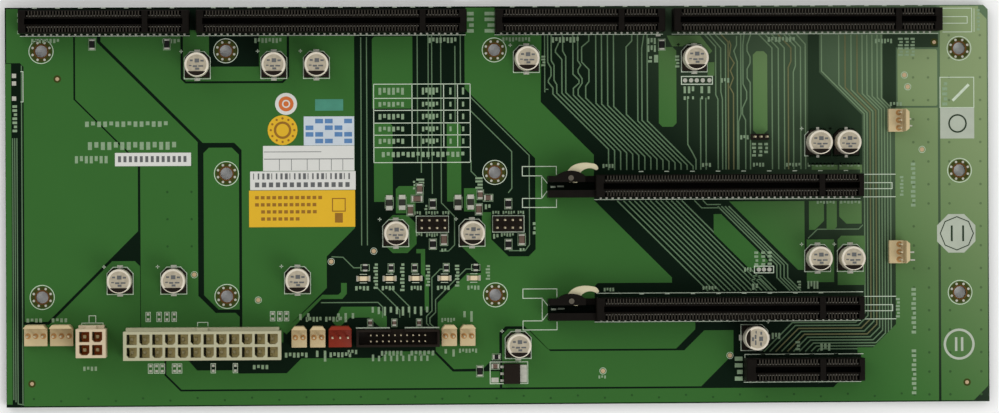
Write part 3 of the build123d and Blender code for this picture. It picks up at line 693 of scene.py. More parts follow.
@dataclass
class Print:
    """Flat shapes of one layer, gathered and then made one thin closed piece.

    Attributes:
        name: The piece's name.
        layer: Which layer the shapes lie in.
        finish: Their finish.
        slot: Their material slot in the record.
        points: Corners in millimetres.
        faces: Faces as lists of corner numbers.
    """

    name: str
    layer: Layer
    finish: Finish
    slot: str
    points: list[Point] = field(default_factory=list)
    faces: list[list[int]] = field(default_factory=list)

    def polygon(self, outline: list[Point]) -> None:
        """Add one filled outline, given anticlockwise."""
        start = len(self.points)
        self.points += outline
        self.faces.append(list(range(start, start + len(outline))))

    def bar(self, x0: float, y0: float, x1: float, y1: float) -> None:
        """Add an upright rectangle between two corners."""
        self.polygon([(x0, y0), (x1, y0), (x1, y1), (x0, y1)])

    def dashes(self, x: float, y: float, step: float, count: int, width: float, depth: float) -> None:
        """Add a row of equal bars along X, from the front left corner of the first one."""
        for index in range(count):
            self.bar(x + step * index, y, x + step * index + width, y + depth)

    def disc(self, x: float, y: float, radius: float, sides: int = 16) -> None:
        """Add a filled disc."""
        self.polygon(circle(x, y, radius, sides))

    def ring(self, x: float, y: float, inner: float, outer: float, sides: int = 32) -> None:
        """Add a flat ring."""
        start = len(self.points)
        for pair in zip(circle(x, y, inner, sides), circle(x, y, outer, sides)):
            self.points += pair
        for index in range(sides):
            here, after = start + 2 * index, start + 2 * ((index + 1) % sides)
            self.faces.append([here, here + 1, after + 1, after])

    def line(self, route: list[Point], width: float, closed: bool = False) -> None:
        """Add a stroke along a route, mitred at its corners.

        Args:
            route: Corners of the route in millimetres.
            width: Width of the stroke.
            closed: True where the stroke comes back to its start.
        """
        count = len(route)
        start = len(self.points)
        for index, (x, y) in enumerate(route):
            before = route[index - 1] if index or closed else None
            after = route[(index + 1) % count] if index < count - 1 or closed else None
            sides = []
            for a, b in ((before, (x, y)), ((x, y), after)):
                if a is not None and b is not None:
                    way = Vector((b[0] - a[0], b[1] - a[1])).normalized()
                    sides.append(Vector((-way.y, way.x)))
            mitre = (sides[0] + sides[-1]).normalized()
            reach = width / 2 / max(0.3, mitre.dot(sides[0]))
            dx, dy = mitre.x * reach, mitre.y * reach
            self.points += [(x - dx, y - dy), (x + dx, y + dy)]
        for index in range(count if closed else count - 1):
            here, after = start + 2 * index, start + 2 * ((index + 1) % count)
            self.faces.append([here, after, after + 1, here + 1])

    def frame(self, x0: float, y0: float, x1: float, y1: float, width: float) -> None:
        """Add the outline of an upright rectangle."""
        self.line([(x0, y0), (x1, y0), (x1, y1), (x0, y1)], width, closed=True)

    def build(self) -> bpy.types.Object:
        """Make the piece: flat faces, then a thickness down to the board.

        Returns:
            The finished piece.
        """
        low, top = self.layer.value
        piece = Bench.shape(self.name, [(x, y, top) for x, y in self.points], [], self.faces)
        Bench.apply(piece, "SOLIDIFY", thickness=(top - low) * MM, offset=-1.0)
        log.info("%s: %d shapes", self.name, len(self.faces))
        return Bench.finish(piece, self.finish, self.slot)


@dataclass(frozen=True)
class Slot:
    """Sizes of one card slot.

    Attributes:
        node: The slot's solid.
        right: Right end.
        length: Length along X.
        end: From the right end to the first contact.
        contacts: Contacts on each side.
        y: Middle line.
    """

    node: str
    right: float
    length: float
    end: float
    contacts: int
    y: float

    def runs(self) -> list[tuple[float, int]]:
        """Give each run of contacts as its left contact and its number of contacts."""
        short_left = self.right - self.end - (SHORT_RUN - 1)
        long_count = self.contacts - SHORT_RUN
        return [(short_left - KEY_STEP - (long_count - 1), long_count), (short_left, SHORT_RUN)]

    def build(self) -> None:
        """Dress the housing and add its ribs and contacts."""
        Carried.dress(self.node, SLOT_BLACK)
        ribs, contacts = [], []
        for left, count in self.runs():
            for side in (-1, 1):
                ribs.append(self.rib(left, count, side))
                contacts.append(self.contact(left, count, side))
        short = self.node.replace("_housing", "")
        # the ribs take a lighter copy of the housing's black, as painted light on their tops
        Bench.finish(Bench.join(f"{short}_ribs", ribs), RIB_LIT_BLACK, "slot_plastic")
        Bench.finish(Bench.join(f"{short}_contacts", contacts), CONTACT, "gold_pin")
        log.info("%s: %d contacts", short, 2 * self.contacts)

    def rib(self, left: float, count: int, side: int) -> bpy.types.Object:
        """Model one rib between two contact cells, with a slope towards the card, and repeat it."""
        x = left + CONTACT_PITCH / 2
        near, far = self.y + side * RIB_NEAR, self.y + side * RIB_FAR
        piece = Bench.block("rib", (x - RIB_HALF, min(near, far), SLOT_TOP - RIB_DEPTH),
                            (x + RIB_HALF, max(near, far), SLOT_TOP - RIB_SINK))
        for vertex in piece.data.vertices:
            if abs(vertex.co.y - near * MM) < CLOSE * MM and vertex.co.z > (SLOT_TOP - 1) * MM:
                vertex.co.z -= RIB_SLOPE * MM
        return Bench.row(piece, count - 1, (CONTACT_PITCH, 0.0, 0.0))

    def contact(self, left: float, count: int, side: int) -> bpy.types.Object:
        """Model one bowed contact spring and repeat it along its run."""
        section = ((-CONTACT_HALF, 0.0), (CONTACT_HALF, 0.0), (CONTACT_HALF, CONTACT_THICK),
                   (-CONTACT_HALF, CONTACT_THICK))
        points = [(left + dx, self.y + side * (reach + dy), SLOT_TOP + drop)
                  for reach, drop in CONTACT_PROFILE for dx, dy in section]
        faces = []
        last = len(CONTACT_PROFILE) - 1
        for index in range(last):
            for edge in range(4):
                a, b = 4 * index + edge, 4 * index + (edge + 1) % 4
                faces.append([a, b, b + 4, a + 4])
        faces += [[3, 2, 1, 0], [4 * last + edge for edge in range(4)]]
        piece = Bench.flip_out(Bench.shape("contact", points, [], faces))
        return Bench.row(piece, count, (CONTACT_PITCH, 0.0, 0.0))


SHORT_RUN = 11
KEY_STEP = 3.0
CONTACT_PITCH = 1.0
# distance from the slot's middle and depth under its top, from the foot of the spring to its tip
CONTACT_PROFILE = [(2.6, -5.2), (2.4, -4.0), (1.45, -2.4), (1.42, -1.6), (1.75, -0.7)]
CONTACT_HALF, CONTACT_THICK = 0.18, 0.14
RIB_NEAR, RIB_FAR, RIB_HALF = 1.3, 3.4, 0.2
RIB_DEPTH, RIB_SINK, RIB_SLOPE = 5.2, 0.05, 0.9
CLOSE = 0.001
SLOT_LINE = -4.75
SLOT_GRID = 20.32
BACK_LINE = 50.1
SLOTS = [
    Slot("back_slot_a_housing", 145.5, 89.0, 3.0, 82, BACK_LINE),
    Slot("back_slot_b_housing", 53.6, 56.0, 3.0, 49, BACK_LINE),
    Slot("back_slot_c_housing", -12.0, 89.0, 3.0, 82, BACK_LINE),
    Slot("back_slot_d_housing", -103.3, 56.0, 3.0, 49, BACK_LINE),
    Slot("card_slot_1_housing", 119.2, 88.8, 2.4, 82, SLOT_LINE),
    Slot("card_slot_2_housing", 119.2, 88.8, 2.4, 82, SLOT_LINE - 2 * SLOT_GRID),
    Slot("card_slot_3_housing", 119.2, 39.2, 2.4, 32, SLOT_LINE - 3 * SLOT_GRID),
]


class Carried:
    """Solids of the frame that keep their own shape and get a finish."""

    @staticmethod
    def dress(node: str, finish: Finish) -> None:
        """Put a finish on a solid of the frame."""
        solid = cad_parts[node]
        solid.data.materials.clear()
        solid.data.materials.append(finish.build())

    @staticmethod
    def remould(node: str, finish: Finish, slot: str, edge: float, body: str = HOME) -> None:
        """Stand a piece with rounded edges in for a solid of the frame."""
        piece = Bench.moulded(node, f"{node}_moulded", edge)
        Bench.finish(piece, finish, slot, body)
        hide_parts(node)


@dataclass
class Capacitors:
    """The sixteen can capacitors.

    Attributes:
        places: Centre and turn in degrees of each.
        radius: Radius of a can.
        top: Height of a can above the mask.
        base: Height of its moulded base.
        chord: From the middle to the straight edge of the dark segment.
    """

    places: list[tuple[float, float, float]]
    radius: float = 4.0
    top: float = 10.2
    base: float = 1.2
    chord: float = 2.25

    def stamp(self, piece: bpy.types.Object, name: str) -> bpy.types.Object:
        """Copy a piece made at the origin to every place, and join the copies."""
        copies = []
        for x, y, turn in self.places:
            place = Matrix.Translation((x * MM, y * MM, MASK_TOP * MM))
            copies.append(Bench.copy(piece, name, place @ Matrix.Rotation(math.radians(turn), 4, "Z")))
        bpy.data.objects.remove(piece)
        return Bench.join(name, copies)

    def can(self) -> bpy.types.Object:
        """Spin the profile of a rolled can with a groove near its foot and a raised rim."""
        r, top = self.radius, self.top
        profile = [(0.0, top - 0.14), (r - 0.75, top - 0.14), (r - 0.6, top), (r - 0.3, top),
                   (r - 0.08, top - 0.12), (r, top - 0.4), (r, 3.4), (r - 0.28, 3.0), (r, 2.6),
                   (r, self.base),
                   (0.0, self.base)]
        piece = Bench.shape("can", [(x, 0, z) for x, z in profile],
                            [(index, index + 1) for index in range(len(profile) - 1)], [])
        with Bench.editing(piece):
            bpy.ops.mesh.spin(steps=40, angle=2 * math.pi, center=(0, 0, 0), axis=(0, 0, 1))
        return Bench.smooth(Bench.flip_out(piece), 25)

    def face(self) -> bpy.types.Object:
        """Lay the mottled printed face inside a can's rim."""
        return Bench.cylinder("face", 40, self.radius - 0.78, 0.1, self.top - 0.16)

    def segment(self) -> bpy.types.Object:
        """Cut the dark segment that marks the minus side of a can's top."""
        piece = Bench.cylinder("segment", 48, self.radius - 0.32, 0.2, self.top - 0.08)
        with Bench.editing(piece):
            bpy.ops.mesh.bisect(plane_co=(0, -self.chord * MM, 0), plane_no=(0, 1, 0), clear_outer=True,
                                use_fill=True)
        return Bench.flip_out(piece)

    def build(self) -> None:
        """Make all cans, bases and leads."""
        cans = Bench.finish(self.stamp(self.can(), "capacitor_cans_rolled"), CAN, "can_aluminium")
        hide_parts("capacitor_cans")
        Bench.finish(self.stamp(self.face(), "capacitor_faces"), CAN_FACE, "can_aluminium")
        Bench.finish(self.stamp(self.segment(), "capacitor_segments"), BLACK, "black_plastic")
        Carried.remould("capacitor_bases", BLACK, "black_plastic", 0.15)
        Carried.dress("capacitor_leads", TIN)
        log.info("capacitors: %d", len(self.places))


CAPACITOR_PLACES = [(x, y, 0.0) for x, y in (
    (-100.9, 35.9), (-75.6, 35.9), (-61.5, 35.9), (8.1, 37.6), (64.0, 37.6), (105.0, 9.5), (114.5, 9.5),
    (104.8, -28.99), (115.7, -28.99), (-35.5, -20.0), (-10.2, -20.0), (-126.7, -35.3), (-109.0, -35.3),
    (-68.1, -35.4), (4.95, -57.3))] + [(83.6, -55.3, -90.0)]


@dataclass
class Cells:
    """Shaded plastic that shows inside the cells of a power socket.

    Attributes:
        name: Name of the piece.
        finish: Its finish.
        slot: Its material slot in the record.
        columns: Middle of each column.
        rows: Middle of each row.
        level: Height of the ledge.
        left: Left edge of the ledge from the middle of its cell.
        reach: From the middle of the cell to the ledge's other edges.
    """

    name: str
    finish: Finish
    slot: str
    columns: list[float]
    rows: list[float]
    level: float
    left: float
    reach: float = 1.68

    THICKNESS = 1.0
    SLOPE = 0.6

    def build(self) -> None:
        """Set one ledge in every cell."""
        x, y = self.columns[0], self.rows[0]
        piece = Bench.block(self.name, (x + self.left, y - self.reach, self.level - self.THICKNESS),
                            (x + self.reach, y + self.reach, self.level))
        for vertex in piece.data.vertices:
            at_left = vertex.co.x < (x + self.left + CLOSE) * MM
            if at_left and vertex.co.z > (self.level - self.THICKNESS / 2) * MM:
                vertex.co.z -= self.SLOPE * MM
        Bench.row(piece, len(self.columns), (self.columns[1] - x, 0.0, 0.0))
        Bench.row(piece, len(self.rows), (0.0, self.rows[1] - y, 0.0))
        Bench.finish(piece, self.finish, self.slot)


POWER_PITCH = 4.2
POWER_ROWS = 2.15
POWER_CELLS = [
    Cells("main_power_cell_ledges", CELL_LIT_KHAKI, "power_plastic",
          [-99.4 + (column - 5.5) * POWER_PITCH for column in range(12)],
          [-56.6 - POWER_ROWS, -56.6 + POWER_ROWS],
          11.1, -0.85),
    Cells("extra_power_cell_ledges", CELL_BROWN, "power_plastic",
          [-135.9 + (column - 0.5) * POWER_PITCH for column in range(2)],
          [-55.6 - POWER_ROWS, -55.6 + POWER_ROWS],
          9.6, -1.1),
]


class HeaderCollars:
    """Warm moulded collars round the pins of the small headers."""

    RADIUS = 0.95
    PITCH = 2.54
    # middle of the header, number of pins, turn in degrees, and from the middle to the row of pins
    PLACES = [(-154.4, -53.7, 3, 0, 0.35), (-145.9, -53.7, 3, 0, 0.35), (130.75, 16.7, 3, -90, 0.9),
              (130.75, -27.0, 3, -90, 0.9), (-67.63, -54.65, 2, 0, 0.35), (-61.5, -54.65, 2, 0, 0.35),
              (-18.0, -54.45, 2, 0, 0.35), (-11.87, -54.45, 2, 0, 0.35)]

    def build(self) -> None:
        """Set all collars."""
        collars = Print("header_collars", Layer.HEADER_FACE, HEADER_AMBER, "header_plastic")
        for x, y, count, turn, back in self.PLACES:
            row = [((index - (count - 1) / 2) * self.PITCH, back) for index in range(count)]
            for middle in placed(x, y, turn, row):
                collars.disc(*middle, self.RADIUS, 14)
        collars.build()


class Studio:
    """Camera, lights and floor."""

    PICTURE_WIDTH = 999
    FOCAL_PIXELS = 4500.166
    SENSOR = 36.0
    # millimetres above the board's top, and turns in radians
    CAMERA_PLACE = (-60.714678, -10.139885, 1491.962805)
    CAMERA_TURN = (-0.000599, -0.039988, -0.004844)
    # place and side in metres, and power in watts
    LAMPS = {"key_lamp": ((0.85, -0.95, 1.3), 0.9, 9.0), "fill_lamp": ((-1.0, 0.9, 1.2), 0.9, 4.0)}
    FLOOR_SIZE = 8.0
    GLOW_REACH = 0.02
    GLOW = 0.22

    def camera(self) -> None:
        """Set the camera at the photograph's place: nearly overhead, left of the middle."""
        lens = bpy.data.cameras.new("camera")
        lens.sensor_width = self.SENSOR
        lens.lens = self.FOCAL_PIXELS * self.SENSOR / self.PICTURE_WIDTH
        lens.clip_end = 20.0
        camera = bpy.data.objects.new("camera", lens)
        x, y, height = self.CAMERA_PLACE
        camera.location = (x * MM, y * MM, (height + BOARD_TOP) * MM)
        camera.rotation_euler = self.CAMERA_TURN
        bpy.context.scene.collection.objects.link(camera)
        bpy.context.scene.camera = camera

    @staticmethod
    def lamp(name: str, place: tuple[float, float, float], size: float, power: float) -> None:
        """Hang a square lamp that faces the board.

        Args:
            name: The lamp's name.
            place: Its place in metres.
            size: Its side in metres.
            power: Its power in watts.
        """
        light = bpy.data.lights.new(name, "AREA")
        light.size = size
        light.energy = power
        lamp = bpy.data.objects.new(name, light)
        lamp.location = place
        lamp.rotation_euler = (Vector((0, 0, 0)) - Vector(place)).to_track_quat("-Z", "Y").to_euler()
        bpy.context.scene.collection.objects.link(lamp)

    @staticmethod
    def world() -> None:
        """Light the scene softly from all round, and show white behind it."""
        world = bpy.data.worlds.new("studio")
        world.use_nodes = True
        graph = Graph(world.node_tree)
        path = graph.add("LightPath").outputs
        mirrored = graph.mix(path["Is Glossy Ray"], 0.7, 0.3, "FLOAT")
        seen = graph.mix(path["Is Camera Ray"], mirrored, 1.0, "FLOAT")
        graph.feed(graph.tree.nodes["Background"], {"Color": (1, 1, 1, 1), "Strength": seen})
        bpy.context.scene.world = world

    def whitening(self, graph: Graph) -> Socket:
        """Give the light that the camera alone sees on the floor, from the board's edge outwards.

        Args:
            graph: The floor material's graph.

        Returns:
            The socket that gives the strength.
        """
        low, high = CAD_BOX
        parts = graph.add("SeparateXYZ", {0: graph.place()}).outputs
        beyond = []
        for axis, start, end in (("X", low.x, high.x), ("Y", low.y, high.y)):
            centred = graph.maths("SUBTRACT", parts[axis], (start + end) / 2)
            beyond.append(graph.maths("SUBTRACT", graph.maths("ABSOLUTE", centred), (end - start) / 2))
        ramp = graph.ramp(graph.maths("MAXIMUM", *beyond), From_Max=self.GLOW_REACH, To_Max=self.GLOW)
        return graph.maths("MULTIPLY", ramp, graph.add("LightPath").outputs["Is Camera Ray"])

    def floor(self, height: float) -> None:
        """Lay the pale floor, which is clear when seen from below.

        Args:
            height: Its height in metres.
        """
        Bench.only()
        bpy.ops.mesh.primitive_plane_add(size=self.FLOOR_SIZE, location=(0, 0, height))
        floor = bpy.context.object
        floor.name = "floor"
        material = FLOOR.build()
        graph = Graph(material.node_tree)
        nodes = graph.tree.nodes
        glow = graph.add("Emission", {"Strength": self.whitening(graph)})
        whole = graph.add("AddShader", {0: nodes["Principled BSDF"].outputs[0], 1: glow.outputs[0]})
        either = graph.add("MixShader", {
            "Fac": graph.add("NewGeometry").outputs["Backfacing"], 1: whole.outputs[0],
            2: graph.add("BsdfTransparent").outputs[0]})
        graph.feed(nodes["Material Output"], {"Surface": either.outputs[0]})
        floor.data.materials.append(material)

    def build(self) -> None:
        """Set up the whole studio."""
        self.camera()
        self.world()
        for name, (place, size, power) in self.LAMPS.items():
            self.lamp(name, place, size, power)
        self.floor(CAD_BOX[0].z)
        bpy.context.scene.view_settings.view_transform = "Standard"


class Traces:
    """Copper lines and small copper areas that show through the mask on the bare ground."""

    WIDTH, THIN = 0.42, 0.34
    SLOT_EDGE = 0.6
    FAN_FIRST, FAN_PITCH = 35.3, 2.01
    FAN_SLOPE, FAN_LEVEL = 0.794, 14.8
    FAN_TOPS: list[list[Point]] = [
        [(15.2, 45.5), (15.2, 36.5), (16.3, 34.5), (16.3, 32), (15.4, 30.5), (15.4, 29.8), (16.9, 28),
         (16.9, 25)],
        [(16.4, 45.5), (16.4, 37), (17.3, 35.5), (17.3, 30.5), (18.2, 29), (18.2, 26.5)],
        [(18.9, 43), (17.8, 40.5), (17.8, 39.8), (19.9, 37.4), (19.9, 27)],
        [(20.2, 45.5), (20.2, 40.2), (21.2, 38.4), (21.2, 27)],
        [(23.6, 45.5), (23.6, 32.5), (25.6, 30.5), (25.6, 29.5), (23.7, 27.8), (23.7, 27)],
        [(25.2, 45.5), (25.2, 37), (26.2, 35.5), (25.3, 34), (25.3, 33), (26.6, 31), (26.6, 29.5),
         (25.3, 27.5), (25.3, 26.5)],
        [(28.9, 45.5), (28.9, 43.5), (26.5, 41.5), (26.5, 36.5), (28.9, 34), (28.9, 30), (27.8, 28.5),
         (27.8, 25)],
        [(31.2, 45.5), (31.2, 23.5)], [(33.1, 45.5), (33.1, 23.1)], [(35.1, 45.5), (35.1, 22.5)],
        [(37.1, 45.5), (37.1, 22.3)], [(43.2, 45.5), (43.2, 43.5), (41.3, 41.5), (41.3, 20.3)],
        [(45.1, 45.5), (45.1, 18.5)], [(47.2, 45.5), (46.5, 41), (46.5, 18.2)], [(48.3, 45.5), (48.3, 17.7)],
    ]
    RIGHT_TOPS: list[list[Point]] = [
        [(67.5, 45.5), (71.1, 41.5), (71.1, 25.5), (71.8, 24)],
        [(69, 45.5), (72.8, 41), (72.8, 26.5), (73.3, 24)],
        [(71, 45.5), (74.4, 42)], [(73, 45.5), (75.3, 43)],
        [(75.6, 43.5), (76.2, 42), (75.7, 38.5), (77.3, 36), (76, 33.5), (77, 31), (75.8, 28), (77, 25.8)],
        [(78.1, 45), (78.1, 42), (77.2, 40), (78.3, 36.5)], [(79.5, 45.5), (79.5, 19), (78.7, 16.5)],
        [(80.6, 45.5), (80.2, 42), (80.2, 29), (81.4, 26.5), (81.4, 24),
         (80, 21), (80, 19), (81, 17)],
        [(82.8, 45.5), (81.6, 42), (81.6, 40), (82.6, 38), (82.6, 36), (81.6, 34), (81.6, 31), (82.6, 29.5)],
        [(85.5, 45.5), (89.9, 41)], [(87.6, 45.5), (92, 40.8)], [(89.8, 45.5), (94, 41), (94, 36)],
        [(91.9, 45.5), (96.2, 41), (96.2, 36.5), (95.3, 34.5)],
        [(93.9, 45.5), (97.7, 41.4), (97.7, 35), (97, 33)],
        [(95.4, 45.5), (99.4, 41.2)], [(98, 45.5), (101, 42.2)],
        [(61.7, 24.5), (61.7, 9), (63.4, 6), (64.4, 4)], [(66, 24.5)], [(67.8, 24.5)],
    ]
    BUNDLE_TOPS = (106.4, 112.2, 114.3, 116.3, 118.3, 120.0, 121.6, 123.3, 125.0, 126.4)
    BUNDLE_LEFT, BUNDLE_STEP, BUNDLE_CORNER = 120.6, 0.97, 3.2
    # where the bundle starts, bends beside the slots, turns left under slot 3, turns again, and ends
    BUNDLE_TOP, BUNDLE_BEND, BUNDLE_LEVEL, BUNDLE_END, BUNDLE_FOOT = 45.3, 19.0, -50.4, 96.3, -60.0
    # lines of the bundle and of the right half that look tan
    TAN_IN_BUNDLE, TAN_AT_RIGHT = (2, 4), (3, 4, 12)
    BELOW_SLOT = (28.5, 30.6, 32.4, 34.2, 36.0, 37.8, 39.5, 41.3, 43.0, 44.8, 46.5, 48.2, 50.0)
    FOUR_CLOSE = (60.0, 61.2, 62.4, 63.6)
    LONERS: list[list[Point]] = [
        [(-46.8, 45), (-46.8, -24)], [(-44.9, 45), (-44.9, -24)], [(-28.1, 45.5), (-28.1, 3.4)],
        [(-26.9, 13), (-26.9, 0)],
        [(-24.5, 45.5), (-24.5, 4.5)], [(-23.3, 45.5), (-23.3, -7)], [(-15.6, 42), (-15.6, 16.8)],
        [(-13.8, 45.5), (-13.8, 29.5)], [(-10.4, 4), (-10.4, 0.4), (-8.6, -1.4)],
        [(-20.3, 45.5), (-20.3, -10), (-16, -14.5), (-16, -24), (-18, -26), (-21, -26)],
        [(-10.6, 20.6), (3.1, 6.9), (3.1, -5.3), (1.9, -6.8)],
        [(-10.6, 25.1), (8.9, 5.6), (8.9, -24), (7.4, -26), (2, -26)],
        [(14.2, 45.5), (14.2, 26.5)], [(14.2, 27.5), (15.4, 27.5)],
        [(-8.5, -32), (-12.3, -32), (-22.4, -42.1), (-22.4, -46.3), (-24.3, -48.2), (-24.3, -50),
         (-23, -51.2)],
        [(-19.4, -32), (-20.8, -32), (-23.6, -34.8), (-23.6, -45.8), (-25.4, -47.6), (-25.4, -50),
         (-24.6, -50.8)],
        [(-56.8, -27.7), (-53, -27.9), (-49.5, -31.4), (-46.8, -31.4)], [(-37.1, -31.5), (-37.1, -33.5)],
        [(-42, -37.8), (-34.3, -45.5), (-34.3, -48)], [(-37.6, -37.8), (-31, -44.4), (-31, -48)],
        [(-60.4, -42.9), (-41.5, -42.9), (-40, -44.4), (-40, -48)],
        [(63.8, -9.6), (66.2, -12.1), (72, -12.1)], [(66.6, -9.6), (68, -11), (72.6, -11)],
        [(83, -34.8), (86.2, -34.8), (91, -39.6)], [(82, -36), (85.4, -36), (89, -39.6)],
        [(101.7, -22.4), (104.8, -19.4), (118.6, -19.4), (120, -18)],
        [(-161.9, 12), (-161.9, -74.5)], [(-161.2, 12), (-161.2, -75.2)],
        [(-160.5, 12), (-160.5, -75.8), (-157, -76.4)], [(-158.9, 36), (-158.9, -76)],
    ]
    AREAS: list[list[Point]] = [
        [(-39.5, -17), (-36.5, -14), (-31.6, -14), (-28.6, -17), (-28.6, -23.6), (-31.6, -26.6),
         (-36.5, -26.6), (-39.5, -23.6)],
        [(-28.7, -26.7), (-28.7, -25.3), (-25.8, -25.3), (-25.8, -34), (-24.6, -34), (-24.6, -45.6),
         (-26, -45.6), (-26, -34.6), (-27.2, -33.6), (-27.2, -26.7)],
        [(-53.7, -36.4), (-51.8, -36.4), (-51.8, -40), (-53.3, -41.7), (-60.2, -41.7), (-71.8, -53.3),
         (-72.9, -52.4), (-59.9, -40.3), (-54.6, -40.3), (-53.7, -39.4)],
        [(-53.6, -44.3), (-42, -44.3), (-38.6, -47.6), (-38.6, -51.2), (-40.8, -51.2), (-44.4, -47.9),
         (-50.8, -47.9), (-54.5, -51.2), (-56.5, -49.5)],
        [(68.4, 31.8), (70.7, 31.8), (70.7, 36.3), (68.4, 36.3)],
        [(56.6, 41.6), (60, 41.6), (62, 42.6), (66, 42.6), (69, 39), (70, 40), (66, 45.2), (54.8, 45.2)],
        [(-164.2, -76), (-162.3, -76), (-162.3, 36.6), (-164.2, 36.6)],
    ]
    DULL_AREAS: list[list[Point]] = [
        [(101.9, 45.4), (105.6, 45.4), (105.6, 32.8), (119.8, 18.6), (119.8, 2), (101.9, 2)],
        [(126.9, 23.8), (129.6, 21), (131.3, 21), (131.3, 45.4), (126.9, 45.4)],
        [(131.3, 41), (145.4, 41), (145.4, 45.4), (131.3, 45.4)],
    ]

    def bundle(self, lines: Print, tan: Print) -> None:
        """Draw the bundle that comes down beside the card slots and ends behind slot 3."""
        for index, top in enumerate(self.BUNDLE_TOPS):
            x = self.BUNDLE_LEFT + index * self.BUNDLE_STEP
            bend = self.BUNDLE_BEND + 0.25 * index
            level = self.BUNDLE_LEVEL - 0.98 * index
            left = self.BUNDLE_END + index
            layer = tan if index in self.TAN_IN_BUNDLE else lines
            layer.line([(top, self.BUNDLE_TOP), (top, bend + x - top), (x, bend),
                        (x, level + self.BUNDLE_CORNER), (x - self.BUNDLE_CORNER, level), (left, level),
                        (left + self.BUNDLE_FOOT - level, self.BUNDLE_FOOT)], self.WIDTH)

    def fan(self, lines: Print) -> None:
        """Draw the lines that fan out to the left half of slot 1."""
        for index, route in enumerate(self.FAN_TOPS):
            x = self.FAN_FIRST + self.FAN_PITCH * index
            slant = self.FAN_SLOPE * x + self.FAN_LEVEL
            top = route[-1][0]
            lines.line(route[:-1] + [(top, slant - top), (x, slant - x), (x, self.SLOT_EDGE)], self.WIDTH)

    def build(self) -> None:
        """Draw everything."""
        lines = Print("mask_traces", Layer.TRACE, TRACE_MASK, "masked_copper")
        tan = Print("tan_traces", Layer.TRACE, TAN_TRACE, "masked_copper")
        areas = Print("small_copper_areas", Layer.AREA, COPPER_MASK, "masked_copper")
        dull = Print("dull_copper_areas", Layer.AREA, DEEP_MASK, "masked_copper")
        self.fan(lines)
        self.bundle(lines, tan)
        for index, route in enumerate(self.RIGHT_TOPS):
            layer = tan if index in self.TAN_AT_RIGHT else lines
            layer.line(route + [(route[-1][0], self.SLOT_EDGE)], self.WIDTH)
        for slant in self.BELOW_SLOT:
            lines.line([(slant - y, y) for y in (-9.6, -39.7)], self.WIDTH)
        for slant in self.FOUR_CLOSE:
            route = [(slant + 11.6, -11.6), (slant + 31.2, -31.2), (slant + 31.2, -35.4),
                     (slant + 35.6, -39.8)]
            lines.line(route, self.WIDTH)
        for route in self.LONERS:
            lines.line(route, self.THIN)
        for outline in self.AREAS:
            areas.polygon(outline[::-1])
        for outline in self.DULL_AREAS:
            dull.polygon(outline)
        for piece in (lines, tan, areas, dull):
            piece.build()


PEN, FINE_PEN, HAIRLINE = 0.26, 0.24, 0.2
SAME_SPOT = 0.02


